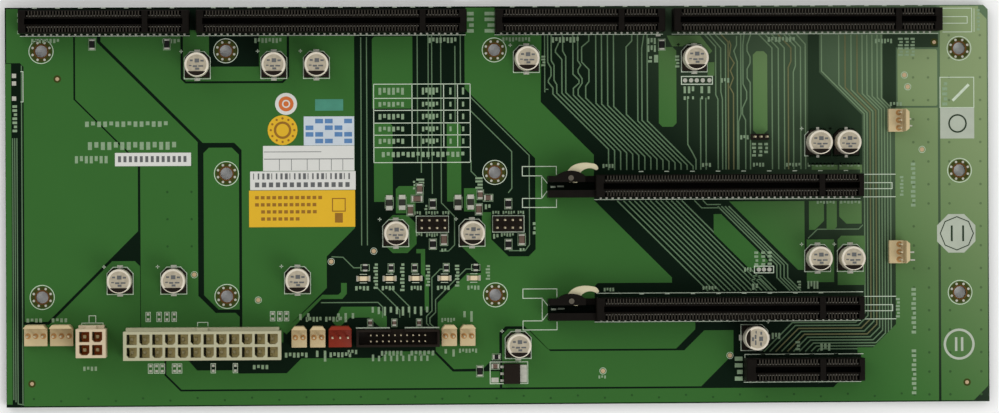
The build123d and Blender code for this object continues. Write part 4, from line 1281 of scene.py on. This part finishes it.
@dataclass
class Board:
    """The bare board with its rings, pads, printed lines and generic lettering marks."""

    holes: list[Point] = field(default_factory=lambda: [
        (x, y) for x in (-152.4, -91.44, -2.54, 152.4) for y in (-40.64, 0.0, 40.64)
        if (x, y) != (-152.4, 0.0)])

    TABLE_ROWS = (29.4, 24.7, 20.7, 16.5, 12.5, 8.4, 3.4)
    TABLE = (-42.6, -10.6)
    TEST_POINTS = ((-102.2, -33.4), (-81.1, -41.9), (-56.9, -29.3), (-42.8, -25.9), (33.1, -66.1),
                   (134.1, 31.8), (135.2, 27.9), (139.9, 7.0), (75.4, -61.2))
    FIDUCIALS = ((-147.1, 31.5), (-155.9, -69.2), (144.1, 42.7), (154.6, -70.6))
    # printed ticks behind each slot: the first, the step and the number
    TICKS = {
        "back_slot_a_housing": (61.5, 6.0, 14), "back_slot_b_housing": (3.5, 7.5, 7),
        "back_slot_c_housing": (-95.5, 6.0, 14), "back_slot_d_housing": (-154.5, 7.56, 7),
        "card_slot_1_housing": (46.1, 8.54, 9), "card_slot_2_housing": (46.1, 8.54, 8),
        "card_slot_3_housing": (86.4, 8.15, 4),
    }
    # inner and outer radius of the printed ring, the olive land and the copper barrel of a mounting hole
    RING, LAND, BARREL = (3.88, 4.12), (2.45, 3.6), (2.0, 2.45)
    DOT_CIRCLE, DOT_RADIUS = 3.0, 0.42
    TEST_RADIUS, TEST_RING, FIDUCIAL_RING = 0.75, (1.0, 1.15), (0.62, 1.25)
    # how much of its step a lettering mark fills, and how much shorter every third one is
    MARK_SHARE, MARK_DROP = 0.62, 0.3
    PAD_SHAPE = ((-0.95, 4.0), (0.95, 4.0), (0.95, 5.15), (-0.95, 5.15))
    # lettering marks: left, front, right, back and number of marks
    MARKS = [
        (-24.3, 43, -14.6, 44.8, 8), (16.6, 43, 26, 44.8, 8), (88.5, 43, 98, 44.6, 8),
        (-11.5, 46.4, -9.3, 54, 4), (-5.7, 46.4, -2.4, 54, 4), (-160.2, 46.4, -157, 54, 4),
        (0.2, 43.4, 9.8, 44.8, 9), (13.1, 35.2, 14.4, 39, 4), (57.6, 34.6, 59, 39, 4),
        (48.6, 36.3, 49.9, 38.8, 2), (50.6, 36.3, 52.8, 38.8, 1), (48.4, 39.8, 51.6, 42, 3),
        (48.4, 42.4, 51.6, 44.4, 3), (60.4, 26, 61.6, 28.3, 1), (61.8, 26, 64.4, 28.3, 2),
        (66, 26, 67.4, 28.3, 1), (68.4, 26, 69.8, 28.3, 1), (60.4, 23.8, 62.6, 25, 2),
        (63.2, 24, 64.2, 25, 1), (66.2, 24, 67.2, 25, 1), (68.4, 24, 69.3, 25, 1),
        (72.8, 29.5, 76, 31, 3), (124.3, 42.4, 130.4, 43.9, 6), (158.4, 46.6, 159.4, 54.2, 6),
        (129.2, 21.5, 133.6, 22.8, 4), (66.4, 1.5, 69.8, 2.8, 3), (83.1, 4.9, 84.4, 9.9, 4),
        (85.2, 4.9, 86.5, 9.9, 4), (87.2, 6, 88.4, 9.9, 3), (83.4, 1.5, 87.5, 2.8, 4),
        (94.4, 1.5, 99.6, 2.7, 5), (101.7, 1.4, 110.8, 2.7, 7), (112.3, 1.4, 119.5, 2.7, 6),
        (79.2, 10.6, 82.4, 12, 3), (83.7, -31.4, 85, -26.2, 4), (86, -31.4, 87.3, -26.2, 4),
        (88.1, -31.2, 89.5, -26.2, 4), (80.3, -33.4, 83, -32, 3), (66.4, -39.3, 71.4, -38.1, 5),
        (82.9, -39.4, 85.3, -37.4, 2), (98, -39, 99.2, -36.2, 3), (101.4, -39.2, 105.4, -36.6, 4),
        (33.3, 1.3, 37.3, 2.6, 4), (33.5, -39.7, 37.3, -38.5, 4), (-20.5, -49.6, -15.6, -48.2, 5),
        (-14.7, -59.8, -8.3, -58.4, 6), (-51.6, -60, -48, -58.6, 3),
        (104.6, -10.9, 111, -10, 6), (112.4, -10.9, 119.6, -10, 6),
        (132.4, -8.4, 133.6, -1.4, 6), (130.9, -48.9, 132.2, -42, 6), (77, -69.6, 79.6, -60.8, 4),
        (105.6, -59.8, 109.4, -57.4, 3), (97.3, -59.6, 98.8, -56.2, 3), (89.4, -55.8, 92.6, -53.8, 3),
        (31.6, -68.6, 34.4, -67.6, 3), (-137.1, 8, -107.2, 10.6, 14), (-141.4, 3.6, -130, 6, 7),
        (-138, 15.6, -110, 17.4, 14), (-161.9, 14, -160.4, 23.4, 7), (-155.6, 43.4, -146, 44.8, 8),
        (-112.4, 43.2, -106.2, 44.6, 5), (-82, 43.2, -72.6, 44.8, 8), (10, -20.6, 10.9, -16, 3),
        (-157.6, -48.9, -152, -47.6, 4), (-149.3, -48.9, -143.7, -47.6, 4), (-139, -65, -134, -63.6, 4),
        (-83, -64.8, -77.4, -63.4, 4), (-72.4, -61, -64.4, -59.4, 6), (-59, -49.2, -53, -47.6, 5),
        (-65.4, -49.2, -59.8, -47.6, 5), (-57.6, -61, -50, -59.4, 6),
        (-40.6, -60.6, -33, -59, 6), (-30.8, -60.6, -22.4, -59, 6),
        (-49, -38.9, -44, -37.5, 4), (-40.2, -38.9, -35.6, -37.5, 4), (-30.6, -38.9, -26.6, -37.5, 4),
        (-21.9, -38.9, -17.3, -37.5, 4), (-11.8, -38.9, -7.4, -37.5, 4),
        (-42.9, -38.4, -41.5, -29.6, 8), (-34.1, -39.2, -32.7, -29.6, 8), (-25.6, -37.6, -24.2, -30.2, 7),
        (-15.9, -37.8, -14.5, -30.2, 7), (-5.7, -35.6, -4.3, -30.4, 5),
        (136.1, -12, 137.6, 3.2, 10), (136.1, -54.3, 137.6, -38.5, 10), (136.1, -74.5, 137.6, -59, 10),
        (132.0, 38.2, 133.6, 44.6, 6), (134.2, 38.2, 135.6, 44.6, 6), (136.2, 38.2, 137.6, 44.6, 6),
        (-29.7, -5.5, -29.0, -2.3, 3), (-25.9, -12.4, -25.0, -10.3, 2), (-8.2, -12.6, -7.4, -10.2, 2),
        (146.7, 21.6, 148.4, 30, 5), (-29.4, -13.9, -26.8, -12.8, 3), (-25.6, -13.9, -21, -12.8, 5),
        (-20, -13.9, -17.4, -12.8, 3), (-3.4, -13.9, -0.8, -12.8, 3), (0, -13.9, 4.4, -12.8, 5),
        (5, -13.9, 7.4, -12.8, 3), (-9, -5.4, -6.6, -1.2, 4), (-6.6, -9.4, -3.4, -7.6, 3),
        (-5.9, -12.2, -3.6, -10.6, 2), (-28.6, -4.6, -26, -1.6, 3), (-28.8, -21, -26.4, -20, 3),
        (-25.4, -21.3, -21.2, -20.1, 5), (-0.6, -21.3, 4, -20.1, 5), (-3.2, -22, -1, -20.4, 2),
        (-20.4, -26.2, -18.4, -25.2, 2), (5.6, -26.2, 7.6, -25.2, 2),
    ]
    # bare pads with a printed frame round them: frame corners and pad centres
    PAD_FRAMES = [
        ((59.7, 29.0, 70.0, 31.6), [(60.9, 30.3), (62.9, 30.3), (64.8, 30.3), (66.8, 30.3), (69.0, 30.3)]),
        ((83.7, -33.8, 90.1, -31.6), [(85.2, -32.7), (86.9, -32.7), (88.7, -32.7)]),
    ]
    EMPTY_PLACES = [(x, -47.3) for x in (-117.5, -113.9, -111.3, -108.9, -76.4, -74.0, -71.8)] + [
        (x, -64.4) for x in (-116.8, -114.8, -112.9, -108.9, -107.2, -96.1, -88.8)]
    # pads that stand upright beside connectors and chips: centres and sizes
    PADS = [(135.6, 17.2, 1.4, 0.5), (135.9, 14.9, 1.5, 0.5),
            (136.4, -27.2, 1.4, 0.5), (136.6, -29.8, 1.5, 0.5), (-3.2, -64.2, 2.4, 1.5),
            (-2.8, -68.9, 2.4, 1.6),
            (52.0, 45.4, 1.6, 0.8), (-161.35, 32.6, 1.4, 1.4), (-161.35, 30.1, 1.4, 1.4),
            (-161.35, 25.1, 1.4, 1.4)]

    def build(self) -> None:
        """Dress the board and print on it."""
        Carried.dress("board", BARE_MASK)
        Carried.dress("copper_fields", COPPER_MASK)
        ink = Print("printed_lines", Layer.INK, INK, "label_white")
        tin = Print("tinned_pads", Layer.TIN, TIN, "tinned_pin")
        olive = Print("hole_lands", Layer.VIA, RING_MASK, "masked_copper")
        brown = Print("hole_barrels", Layer.TIN, BRASS, "pin_steel")
        tan = Print("test_points", Layer.TIN, TEST_TAN, "gold_pin")
        vias = Print("masked_vias", Layer.VIA, VIA_MASK, "masked_copper")
        letters = Print("lettering_marks", Layer.INK, SOFT_INK, "label_white")
        self.rings(ink, tin, olive, brown)
        for x, y, turn in CAPACITOR_PLACES:
            self.capacitor_outline(ink, tin, x, y, turn)
        for slot in SLOTS:
            self.slot_marks(ink, tin, slot)
        self.latch_marks(ink)
        self.table(ink, letters)
        self.frames(ink, tin)
        for mark in self.MARKS:
            self.lettering(letters, *mark)
        self.signal_marks(letters)
        for x, y in self.TEST_POINTS:
            tan.disc(x, y, self.TEST_RADIUS)
            ink.ring(x, y, *self.TEST_RING, 16)
        for x, y in self.FIDUCIALS:
            tan.disc(x, y, self.FIDUCIAL_RING[0])
            olive.ring(x, y, *self.FIDUCIAL_RING, 16)
        self.via_grid(vias)
        self.chip_lands(tin, ink, letters)
        for piece in (ink, letters, tin, olive, brown, tan, vias):
            piece.build()

    def rings(self, ink: Print, tin: Print, olive: Print, brown: Print) -> None:
        """Draw the land, the eight via dots and the printed ring of every mounting hole."""
        for x, y in self.holes:
            ink.ring(x, y, *self.RING)
            olive.ring(x, y, *self.LAND)
            brown.ring(x, y, *self.BARREL)
            for middle in circle(x, y, self.DOT_CIRCLE, 8, 0.5):
                tin.disc(*middle, self.DOT_RADIUS, 10)

    @classmethod
    def lettering(cls, ink: Print, x0: float, y0: float, x1: float, y1: float, count: int) -> None:
        """Draw plain blocks where the board has lettering, in a column where the field is upright.

        Args:
            ink: The layer.
            x0: Left edge.
            y0: Front edge.
            x1: Right edge.
            y1: Back edge.
            count: How many marks.
        """
        column = count > 1 and y1 - y0 > x1 - x0
        for index in range(count):
            start, end = index / count, (index + cls.MARK_SHARE) / count
            short = cls.MARK_DROP if index % 3 == 1 else 0.0
            if column:
                ink.bar(x0 + (x1 - x0) * short, y0 + (y1 - y0) * start, x1, y0 + (y1 - y0) * end)
            else:
                ink.bar(x0 + (x1 - x0) * start, y0 + (y1 - y0) * short, x0 + (x1 - x0) * end, y1)

    @classmethod
    def capacitor_outline(cls, ink: Print, tin: Print, x: float, y: float, turn: float) -> None:
        """Draw the outline, the plus mark and the two pads of one capacitor."""
        shape = [(-4.3, -4.5), (4.3, -4.5), (4.3, 2.4), (2.3, 4.5), (-2.3, 4.5), (-4.3, 2.4)]
        ink.line(placed(x, y, turn, shape), PEN, closed=True)
        for side in (-1, 1):
            pad = placed(x, y, turn, [(a, side * b) for a, b in cls.PAD_SHAPE])
            tin.polygon(pad[::side])
        for stroke in ([(-5.9, 4.6), (-4.7, 4.6)], [(-5.3, 4.0), (-5.3, 5.2)]):
            ink.line(placed(x, y, turn, stroke), PEN)

    def slot_marks(self, ink: Print, tin: Print, slot: Slot) -> None:
        """Draw the lines beside a slot, its ticks and the solder dots along its foot."""
        left = slot.right - slot.length
        ink.line([(left, slot.y - 4.45), (slot.right, slot.y - 4.45)], HAIRLINE)
        for index in range(int(slot.length / 2) - 1):
            tin.disc(left + 2.2 + 2 * index, slot.y - 3.95, 0.4, 8)
        first, step, count = self.TICKS[slot.node]
        ink.dashes(first - 0.75, slot.y + 4.68, step, count, 1.5, 0.3)

    @staticmethod
    def latch_marks(ink: Print) -> None:
        """Draw the card outlines left and right of the slots."""
        for drop in (0.0, 2 * SLOT_GRID):
            routes = [
                [(17.9, -0.9), (17.9, 1.9), (6.6, 1.9), (6.6, -1.2), (13, -1.2), (13, -8.7), (6.6, -8.7),
                 (6.6, -11.7),
                 (17.9, -11.7), (17.9, -9)],
                [(13, -1.3), (14.9, -3.7)], [(13, -8.7), (14.9, -6.2)], [(120.2, -1.2), (131, -1.2)],
                [(120.2, -8.7), (131, -8.7)], [(120.2, -4), (129.8, -4), (129.8, -6), (120.2, -6)],
            ]
            for route in routes:
                ink.line([(x, y - drop) for x, y in route], PEN)
            ink.bar(16.0, -5.2 - drop, 17.6, -4.6 - drop)
            ink.bar(18.2, -5.0 - drop, 20.4, -4.5 - drop)
        ink.line([(146.9, 54), (156.7, 54), (156.7, 46.1), (146.9, 46.1)], FINE_PEN)
        ink.line([(157.5, 54), (157.5, 46.1)], HAIRLINE)
        ink.line([(147, 51.2), (155.2, 51.2), (155.2, 49), (147, 49)], FINE_PEN)
        ink.line([(31, -40.3), (120, -40.3)], FINE_PEN)
        ink.line([(120, -60.9), (80.4, -60.9), (80.4, -69.7)], FINE_PEN)

    @staticmethod
    def signal_marks(letters: Print) -> None:
        """Draw the upright marks at both sides of the shrouded header."""
        for index in range(10):
            x = -43.6 + 2 * index
            letters.bar(x, -46.3 - 0.5 * (index % 3), x + 0.75, -44.4)
            letters.bar(x, -62.4, x + 0.75, -60.2 - 0.4 * (index % 2))
        for x, y0, y1 in ((-13.2, -48.0, -46.0), (-10.9, -49.5, -46.0), (-19.5, -60.0, -58.5),
                          (-16.9, -61.0, -58.6), (-62.1, -60.9, -58.8), (-59.5, -62.4, -58.8),
                          (-67.6, -48.6, -46.6),
                          (-65.0, -48.8, -46.4),
                          (-55.0, -48.8, -46.5), (-52.6, -49.4, -46.4), (-50.2, -48.2, -46.4)):
            letters.bar(x, y0, x + 0.8, y1)

    def table(self, ink: Print, letters: Print) -> None:
        """Draw the printed table, with plain marks in its cells."""
        left, right = self.TABLE
        for y in self.TABLE_ROWS:
            ink.line([(left, y), (right, y)], PEN)
        for x in (left, right):
            ink.line([(x, self.TABLE_ROWS[0]), (x, self.TABLE_ROWS[-1])], PEN)
        for x in (-29.9, -19.4, -14.8):
            ink.line([(x, self.TABLE_ROWS[0]), (x, self.TABLE_ROWS[-2])], PEN)
        for upper, lower in zip(self.TABLE_ROWS, self.TABLE_ROWS[1:-1]):
            for x0, x1, count in ((-41, -32, 6), (-26.6, -20.8, 5), (-17.5, -16.4, 1), (-13.3, -12.2, 1)):
                self.lettering(letters, x0, lower + 1.2, x1, upper - 1.2, count)
        self.lettering(letters, -40, 5.2, -12, 6.9, 17)

    def frames(self, ink: Print, tin: Print) -> None:
        """Draw framed pads, the strips' frames, the regulator's frame and loose pads."""
        for (x0, y0, x1, y1), pads in self.PAD_FRAMES:
            ink.frame(x0, y0, x1, y1, 0.3)
            for x, y in pads:
                tin.disc(x, y, 0.72)
        for x0, x1 in ((-28.7, -18.0), (-3.3, 7.1)):
            ink.frame(x0, -19.8, x1, -14.4, PEN)
        ink.frame(-4.4, -70.1, 8.1, -62.9, FINE_PEN)
        ink.frame(146, 20.9, 157.3, 31, PEN)
        ink.line([(150.2, 23.2), (155.6, 28.6)], 0.9)
        ink.line([(-159.2, 34), (-158.4, 34), (-158.4, 24), (-159.2, 24)], FINE_PEN)
        ink.line([(-48.8, -51.35), (-37.6, -51.35)], 0.4)
        ink.line([(-32.7, -51.35), (-21.2, -51.35)], 0.4)
        ink.frame(-139.4, -50.6, -132.4, -49.2, 0.22)
        ink.line([(-137, -49.2), (-137, -46.8), (-134.8, -46.8), (-134.8, -49.2)], 0.22)
        ink.line([(-101.2, -50.5), (-101.2, -49.2), (-97.8, -49.2), (-97.8, -50.5)], 0.22)
        for x, y, width, depth in self.PADS:
            tin.bar(x - width / 2, y - depth / 2, x + width / 2, y + depth / 2)

    def chip_lands(self, tin: Print, ink: Print, letters: Print) -> None:
        """Lay solder lands under the ends of the chips, and brackets beside the lamps."""
        for low, high in self.islands("chip_ends"):
            tin.bar(low[0] - 0.1, low[1] - 0.1, high[0] + 0.1, high[1] + 0.1)
        for node in ("chip_resistors", "chip_capacitors", "chip_networks", "fuses"):
            for low, high in self.islands(node):
                along_x = high[0] - low[0] > high[1] - low[1]
                reach_x, reach_y = (0.75, 0.35) if along_x else (0.35, 0.75)
                letters.frame(low[0] - reach_x, low[1] - reach_y,
                              high[0] + reach_x, high[1] + reach_y, HAIRLINE)
        for x, y in self.EMPTY_PLACES:
            ink.frame(x - 0.75, y - 1.55, x + 0.75, y + 1.55, 0.18)
            for side in (-0.85, 0.85):
                tin.bar(x - 0.42, y + side - 0.4, x + 0.42, y + side + 0.4)
        for x in (-46.3, -37.6, -29.0, -19.4, -9.7):
            tin.bar(x - 2.3, -35.9, x - 1.6, -34.1)
            tin.bar(x + 1.6, -35.9, x + 2.3, -34.1)
            ink.line([(x - 1.2, -33.6), (x + 1.2, -33.6)], HAIRLINE)
            ink.line([(x - 1.2, -36.4), (x + 1.2, -36.4)], HAIRLINE)

    @staticmethod
    def islands(node: str) -> list[tuple[Point, Point]]:
        """Give the plan box of each separate block in a solid, in millimetres."""
        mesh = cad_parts[node].data
        spots: dict[tuple[int, ...], int] = {}
        keys = [tuple(round(part / (SAME_SPOT * MM)) for part in vertex.co) for vertex in mesh.vertices]
        parent = [spots.setdefault(key, index) for index, key in enumerate(keys)]

        def root(index: int) -> int:
            """Follow the links from a corner to the one that stands for its block."""
            while parent[index] != index:
                parent[index] = parent[parent[index]]
                index = parent[index]
            return index

        for edge in mesh.edges:
            parent[root(edge.vertices[0])] = root(edge.vertices[1])
        boxes: dict[tuple[int, int], list[float]] = {}
        for vertex in mesh.vertices:
            x, y = vertex.co.x / MM, vertex.co.y / MM
            box = boxes.setdefault(root(vertex.index), [x, y, x, y])
            box[0], box[1], box[2], box[3] = min(box[0], x), min(box[1], y), max(box[2], x), max(box[3], y)
        return [((x0, y0), (x1, y1)) for x0, y0, x1, y1 in boxes.values() if x1 > x0 and y1 > y0]

    @staticmethod
    def via_grid(vias: Print) -> None:
        """Draw the masked vias on the wide fields, as small dark dots."""
        for row, y in enumerate(range(46, -76, -7)):
            for x in (137.0, 142.0, 149.0, 159.4):
                if not (x < 146 and y > 41) and not (140 < x < 158 and -30 < y < -12):
                    vias.disc(x, y - 1.0 - 0.6 * (row % 2), 0.45, 8)
        for x in range(-156, 140, 9):
            vias.disc(x + 0.7, -74.2 - 0.8 * (x % 2), 0.4, 8)
        for x in range(-138, -104, 8):
            for y in range(-24, 46, 9):
                if x > -118 and y < 4:
                    vias.disc(x + 3, y, 0.4, 8)


class Underside:
    """Solder joints round every pin that comes through the board, and the lands of the holes."""

    TAILS = ("main_power_pins", "extra_power_pins", "fan_header_pins", "switch_header_pins",
             "shroud_header_pins", "strip_pins")
    FOOT = 0.95
    NECK = 0.42
    HEIGHT = 0.8
    LAND = (2.45, 3.8)

    def joint(self) -> bpy.types.Object:
        """Model one solder cone that hangs under the board at the origin."""
        Bench.only()
        bpy.ops.mesh.primitive_cone_add(vertices=12, radius1=self.NECK * MM, radius2=self.FOOT * MM,
                                        depth=self.HEIGHT * MM, location=(0, 0, -self.HEIGHT / 2 * MM))
        piece = Bench.settle(bpy.context.object, "joint")
        return Bench.smooth(piece, 35)

    def build(self, holes: list[Point]) -> None:
        """Make all joints and lands.

        Args:
            holes: Middles of the mounting holes.
        """
        model = self.joint()
        joints = []
        for node in self.TAILS:
            for low, high in Board.islands(node):
                place = Matrix.Translation(((low[0] + high[0]) / 2 * MM, (low[1] + high[1]) / 2 * MM, 0.0))
                joints.append(Bench.copy(model, "joint", place))
        bpy.data.objects.remove(model)
        Bench.finish(Bench.join("solder_joints", joints), TIN, "tinned_pin")
        lands = Print("rear_hole_lands", Layer.REAR, RING_MASK, "masked_copper")
        barrels = Print("rear_hole_barrels", Layer.REAR, BRASS, "pin_steel")
        for x, y in holes:
            lands.ring(x, y, *self.LAND)
            barrels.ring(x, y, *Board.BARREL)
        lands.build()
        barrels.build()
        log.info("solder joints: %d", len(joints))


class Labels:
    """Plain bars, fields and rings printed on the stuck labels, and two pale patches on the board."""

    def build(self) -> None:
        """Print all labels."""
        grey = Print("label_grey_bars", Layer.LABEL, LABEL_GREY, "label_white")
        brown = Print("label_brown_bars", Layer.LABEL, LABEL_BROWN, "label_yellow")
        blue = Print("label_blue_marks", Layer.LABEL, LABEL_BLUE, "label_blue")
        orange = Print("label_orange_spot", Layer.LABEL, LABEL_ORANGE, "label_yellow")
        white = Print("label_white_spot", Layer.LABEL_SPOT, PAPER_WHITE, "label_white")
        for index in range(22):
            x = -82.6 + 1.5 * index
            grey.bar(x, -2.0, x + 0.3 + 0.22 * (index % 4), 0.0)
        grey.dashes(-82, -4.6, 2.3, 14, 1.4, 1.6)
        for x in (-74.0, -70.0, -64.8, -60.8, -56.8, -53.0):
            grey.bar(x, 1.0, x + 0.18, 4.6)
        grey.bar(-79.0, 4.6, -49.3, 4.85)
        grey.bar(-79.0, 7.0, -60.0, 7.2)
        grey.dashes(-127.2, 3.9, 1.8, 13, 1.0, 2.0)
        for row, (left, right) in enumerate(((-82, -58), (-82, -60), (-80, -60), (-80, -66))):
            brown.dashes(left, -8.6 - 2.35 * row, 1.9, int((right - left) / 1.9), 1.25, 1.1)
        brown.frame(-56.4, -12.6, -52.2, -8.4, 0.35)
        brown.bar(-55.6, -16.4, -53.0, -13.2)
        brown.ring(-72.8, 14.3, 2.1, 2.9, 24)
        for middle in circle(-72.8, 14.3, 3.9, 12):
            brown.disc(*middle, 0.42, 6)
        orange.disc(-71.6, 23.0, 2.5, 24)
        white.ring(-71.6, 23.0, 0.9, 1.35, 20)
        for row in range(4):
            for column in range(5):
                if (row + column) % 3:
                    x, y = -65.2 + 3.2 * column, 9.9 + 2.2 * row
                    blue.bar(x, y, x + 2.6, y + 1.5)
        for piece in (grey, brown, blue, orange, white):
            piece.build()
        teal = Print("teal_patch", Layer.INK, LABEL_TEAL, "label_blue")
        teal.bar(-62, 20.7, -52.7, 24.5)
        teal.build()
        pale = Print("pale_patches", Layer.INK, PALE_PATCH, "label_white")
        pale.bar(146, 10.6, 157.4, 20.8)
        pale.polygon(circle(151.2, -21, 6.95, 8, 0.5))
        pale.ring(152, -57.9, 4.4, 5.2)
        pale.dashes(150.6, -60.2, 2.0, 2, 0.8, 4.6)
        pale.build()
        dark = Print("patch_marks", Layer.LABEL, DEEP_MASK, "masked_copper")
        dark.ring(151.8, 15.6, 2.6, 3.1, 24)
        dark.dashes(149.4, -23.6, 3.8, 2, 0.6, 5.2)
        dark.ring(151.4, -21.0, 5.4, 5.7, 8)
        dark.build()


class CanMarks:
    """Dark generic strokes printed on the tops of the cans."""

    STROKES = ((-2.2, 1.0, -1.2, 1.6), (-0.6, 0.6, 0.9, 1.9), (1.3, 0.9, 2.4, 1.5), (-2.5, -0.6, -1.6, -0.2),
               (-1.2, -0.9, 0.2, -0.3), (0.6, -0.8, 2.2, -0.3), (-0.4, -1.8, 0.9, -1.1))

    def build(self) -> None:
        """Print the strokes on every can."""
        marks = Print("can_marks", Layer.CAN_MARK, LABEL_GREY, "black_plastic")
        for x, y, turn in CAPACITOR_PLACES:
            for a0, b0, a1, b1 in self.STROKES:
                marks.polygon(placed(x, y, turn, ((a0, b0), (a1, b0), (a1, b1), (a0, b1))))
        marks.build()


def main() -> None:
    """Build the studio, then dress every piece in order."""
    logging.basicConfig(level=logging.INFO)
    Studio().build()
    board = Board()
    board.build()
    Underside().build(board.holes)
    Traces().build()
    Labels().build()
    for slot in SLOTS:
        slot.build()
    for number in ("1", "2"):
        Carried.remould(f"latch_lever_{number}", LEVER_CREAM, "lever_plastic", 0.25, f"lever_{number}")
        Carried.dress(f"latch_pin_{number}", DARK_STEEL)
    Capacitors(CAPACITOR_PLACES).build()
    CanMarks().build()
    Carried.remould("main_power_housing", POWER_CREAM, "power_plastic", 0.14)
    Carried.remould("extra_power_housing", EXTRA_CREAM, "power_plastic", 0.14)
    for cells in POWER_CELLS:
        cells.build()
    HeaderCollars().build()
    for node in [f"fan_header_{n}" for n in range(1, 5)] + [f"switch_header_{n}" for n in range(1, 5)]:
        Carried.remould(node, HEADER_CREAM, "header_plastic", 0.14)
    Carried.remould("red_header", RED, "red_plastic", 0.14)
    for node in ("shroud_header", "eight_pin_strip_1", "eight_pin_strip_2", "three_pin_strip"):
        Carried.remould(node, BLACK, "black_plastic", 0.12)
    for node in ("main_power_pins", "extra_power_pins"):
        Carried.remould(node, POWER_PIN, "tinned_pin", 0.12)
    for node in ("fan_header_pins", "switch_header_pins"):
        Carried.remould(node, GOLD, "tinned_pin", 0.12)
    for node in ("shroud_header_pins", "strip_pins"):
        Carried.remould(node, GOLD, "gold_pin", 0.12)
    dressed = {
        "chip_resistors": CERAMIC_BLACK, "chip_capacitors": CERAMIC_TAN, "chip_networks": CERAMIC_BLACK,
        "fuses": FUSE_GREEN, "chip_ends": TIN, "lamp_bodies": LAMP, "lamp_ends": GOLD,
        "regulator_body": BLACK, "regulator_metal": TIN,
        "blue_label": PAPER_BLUE, "white_labels": PAPER_WHITE, "yellow_labels": PAPER_YELLOW,
    }
    for node, finish in dressed.items():
        Carried.dress(node, finish)
    log.info("dressed %d solids", len(dressed))


if __name__ == "__main__":
    main()
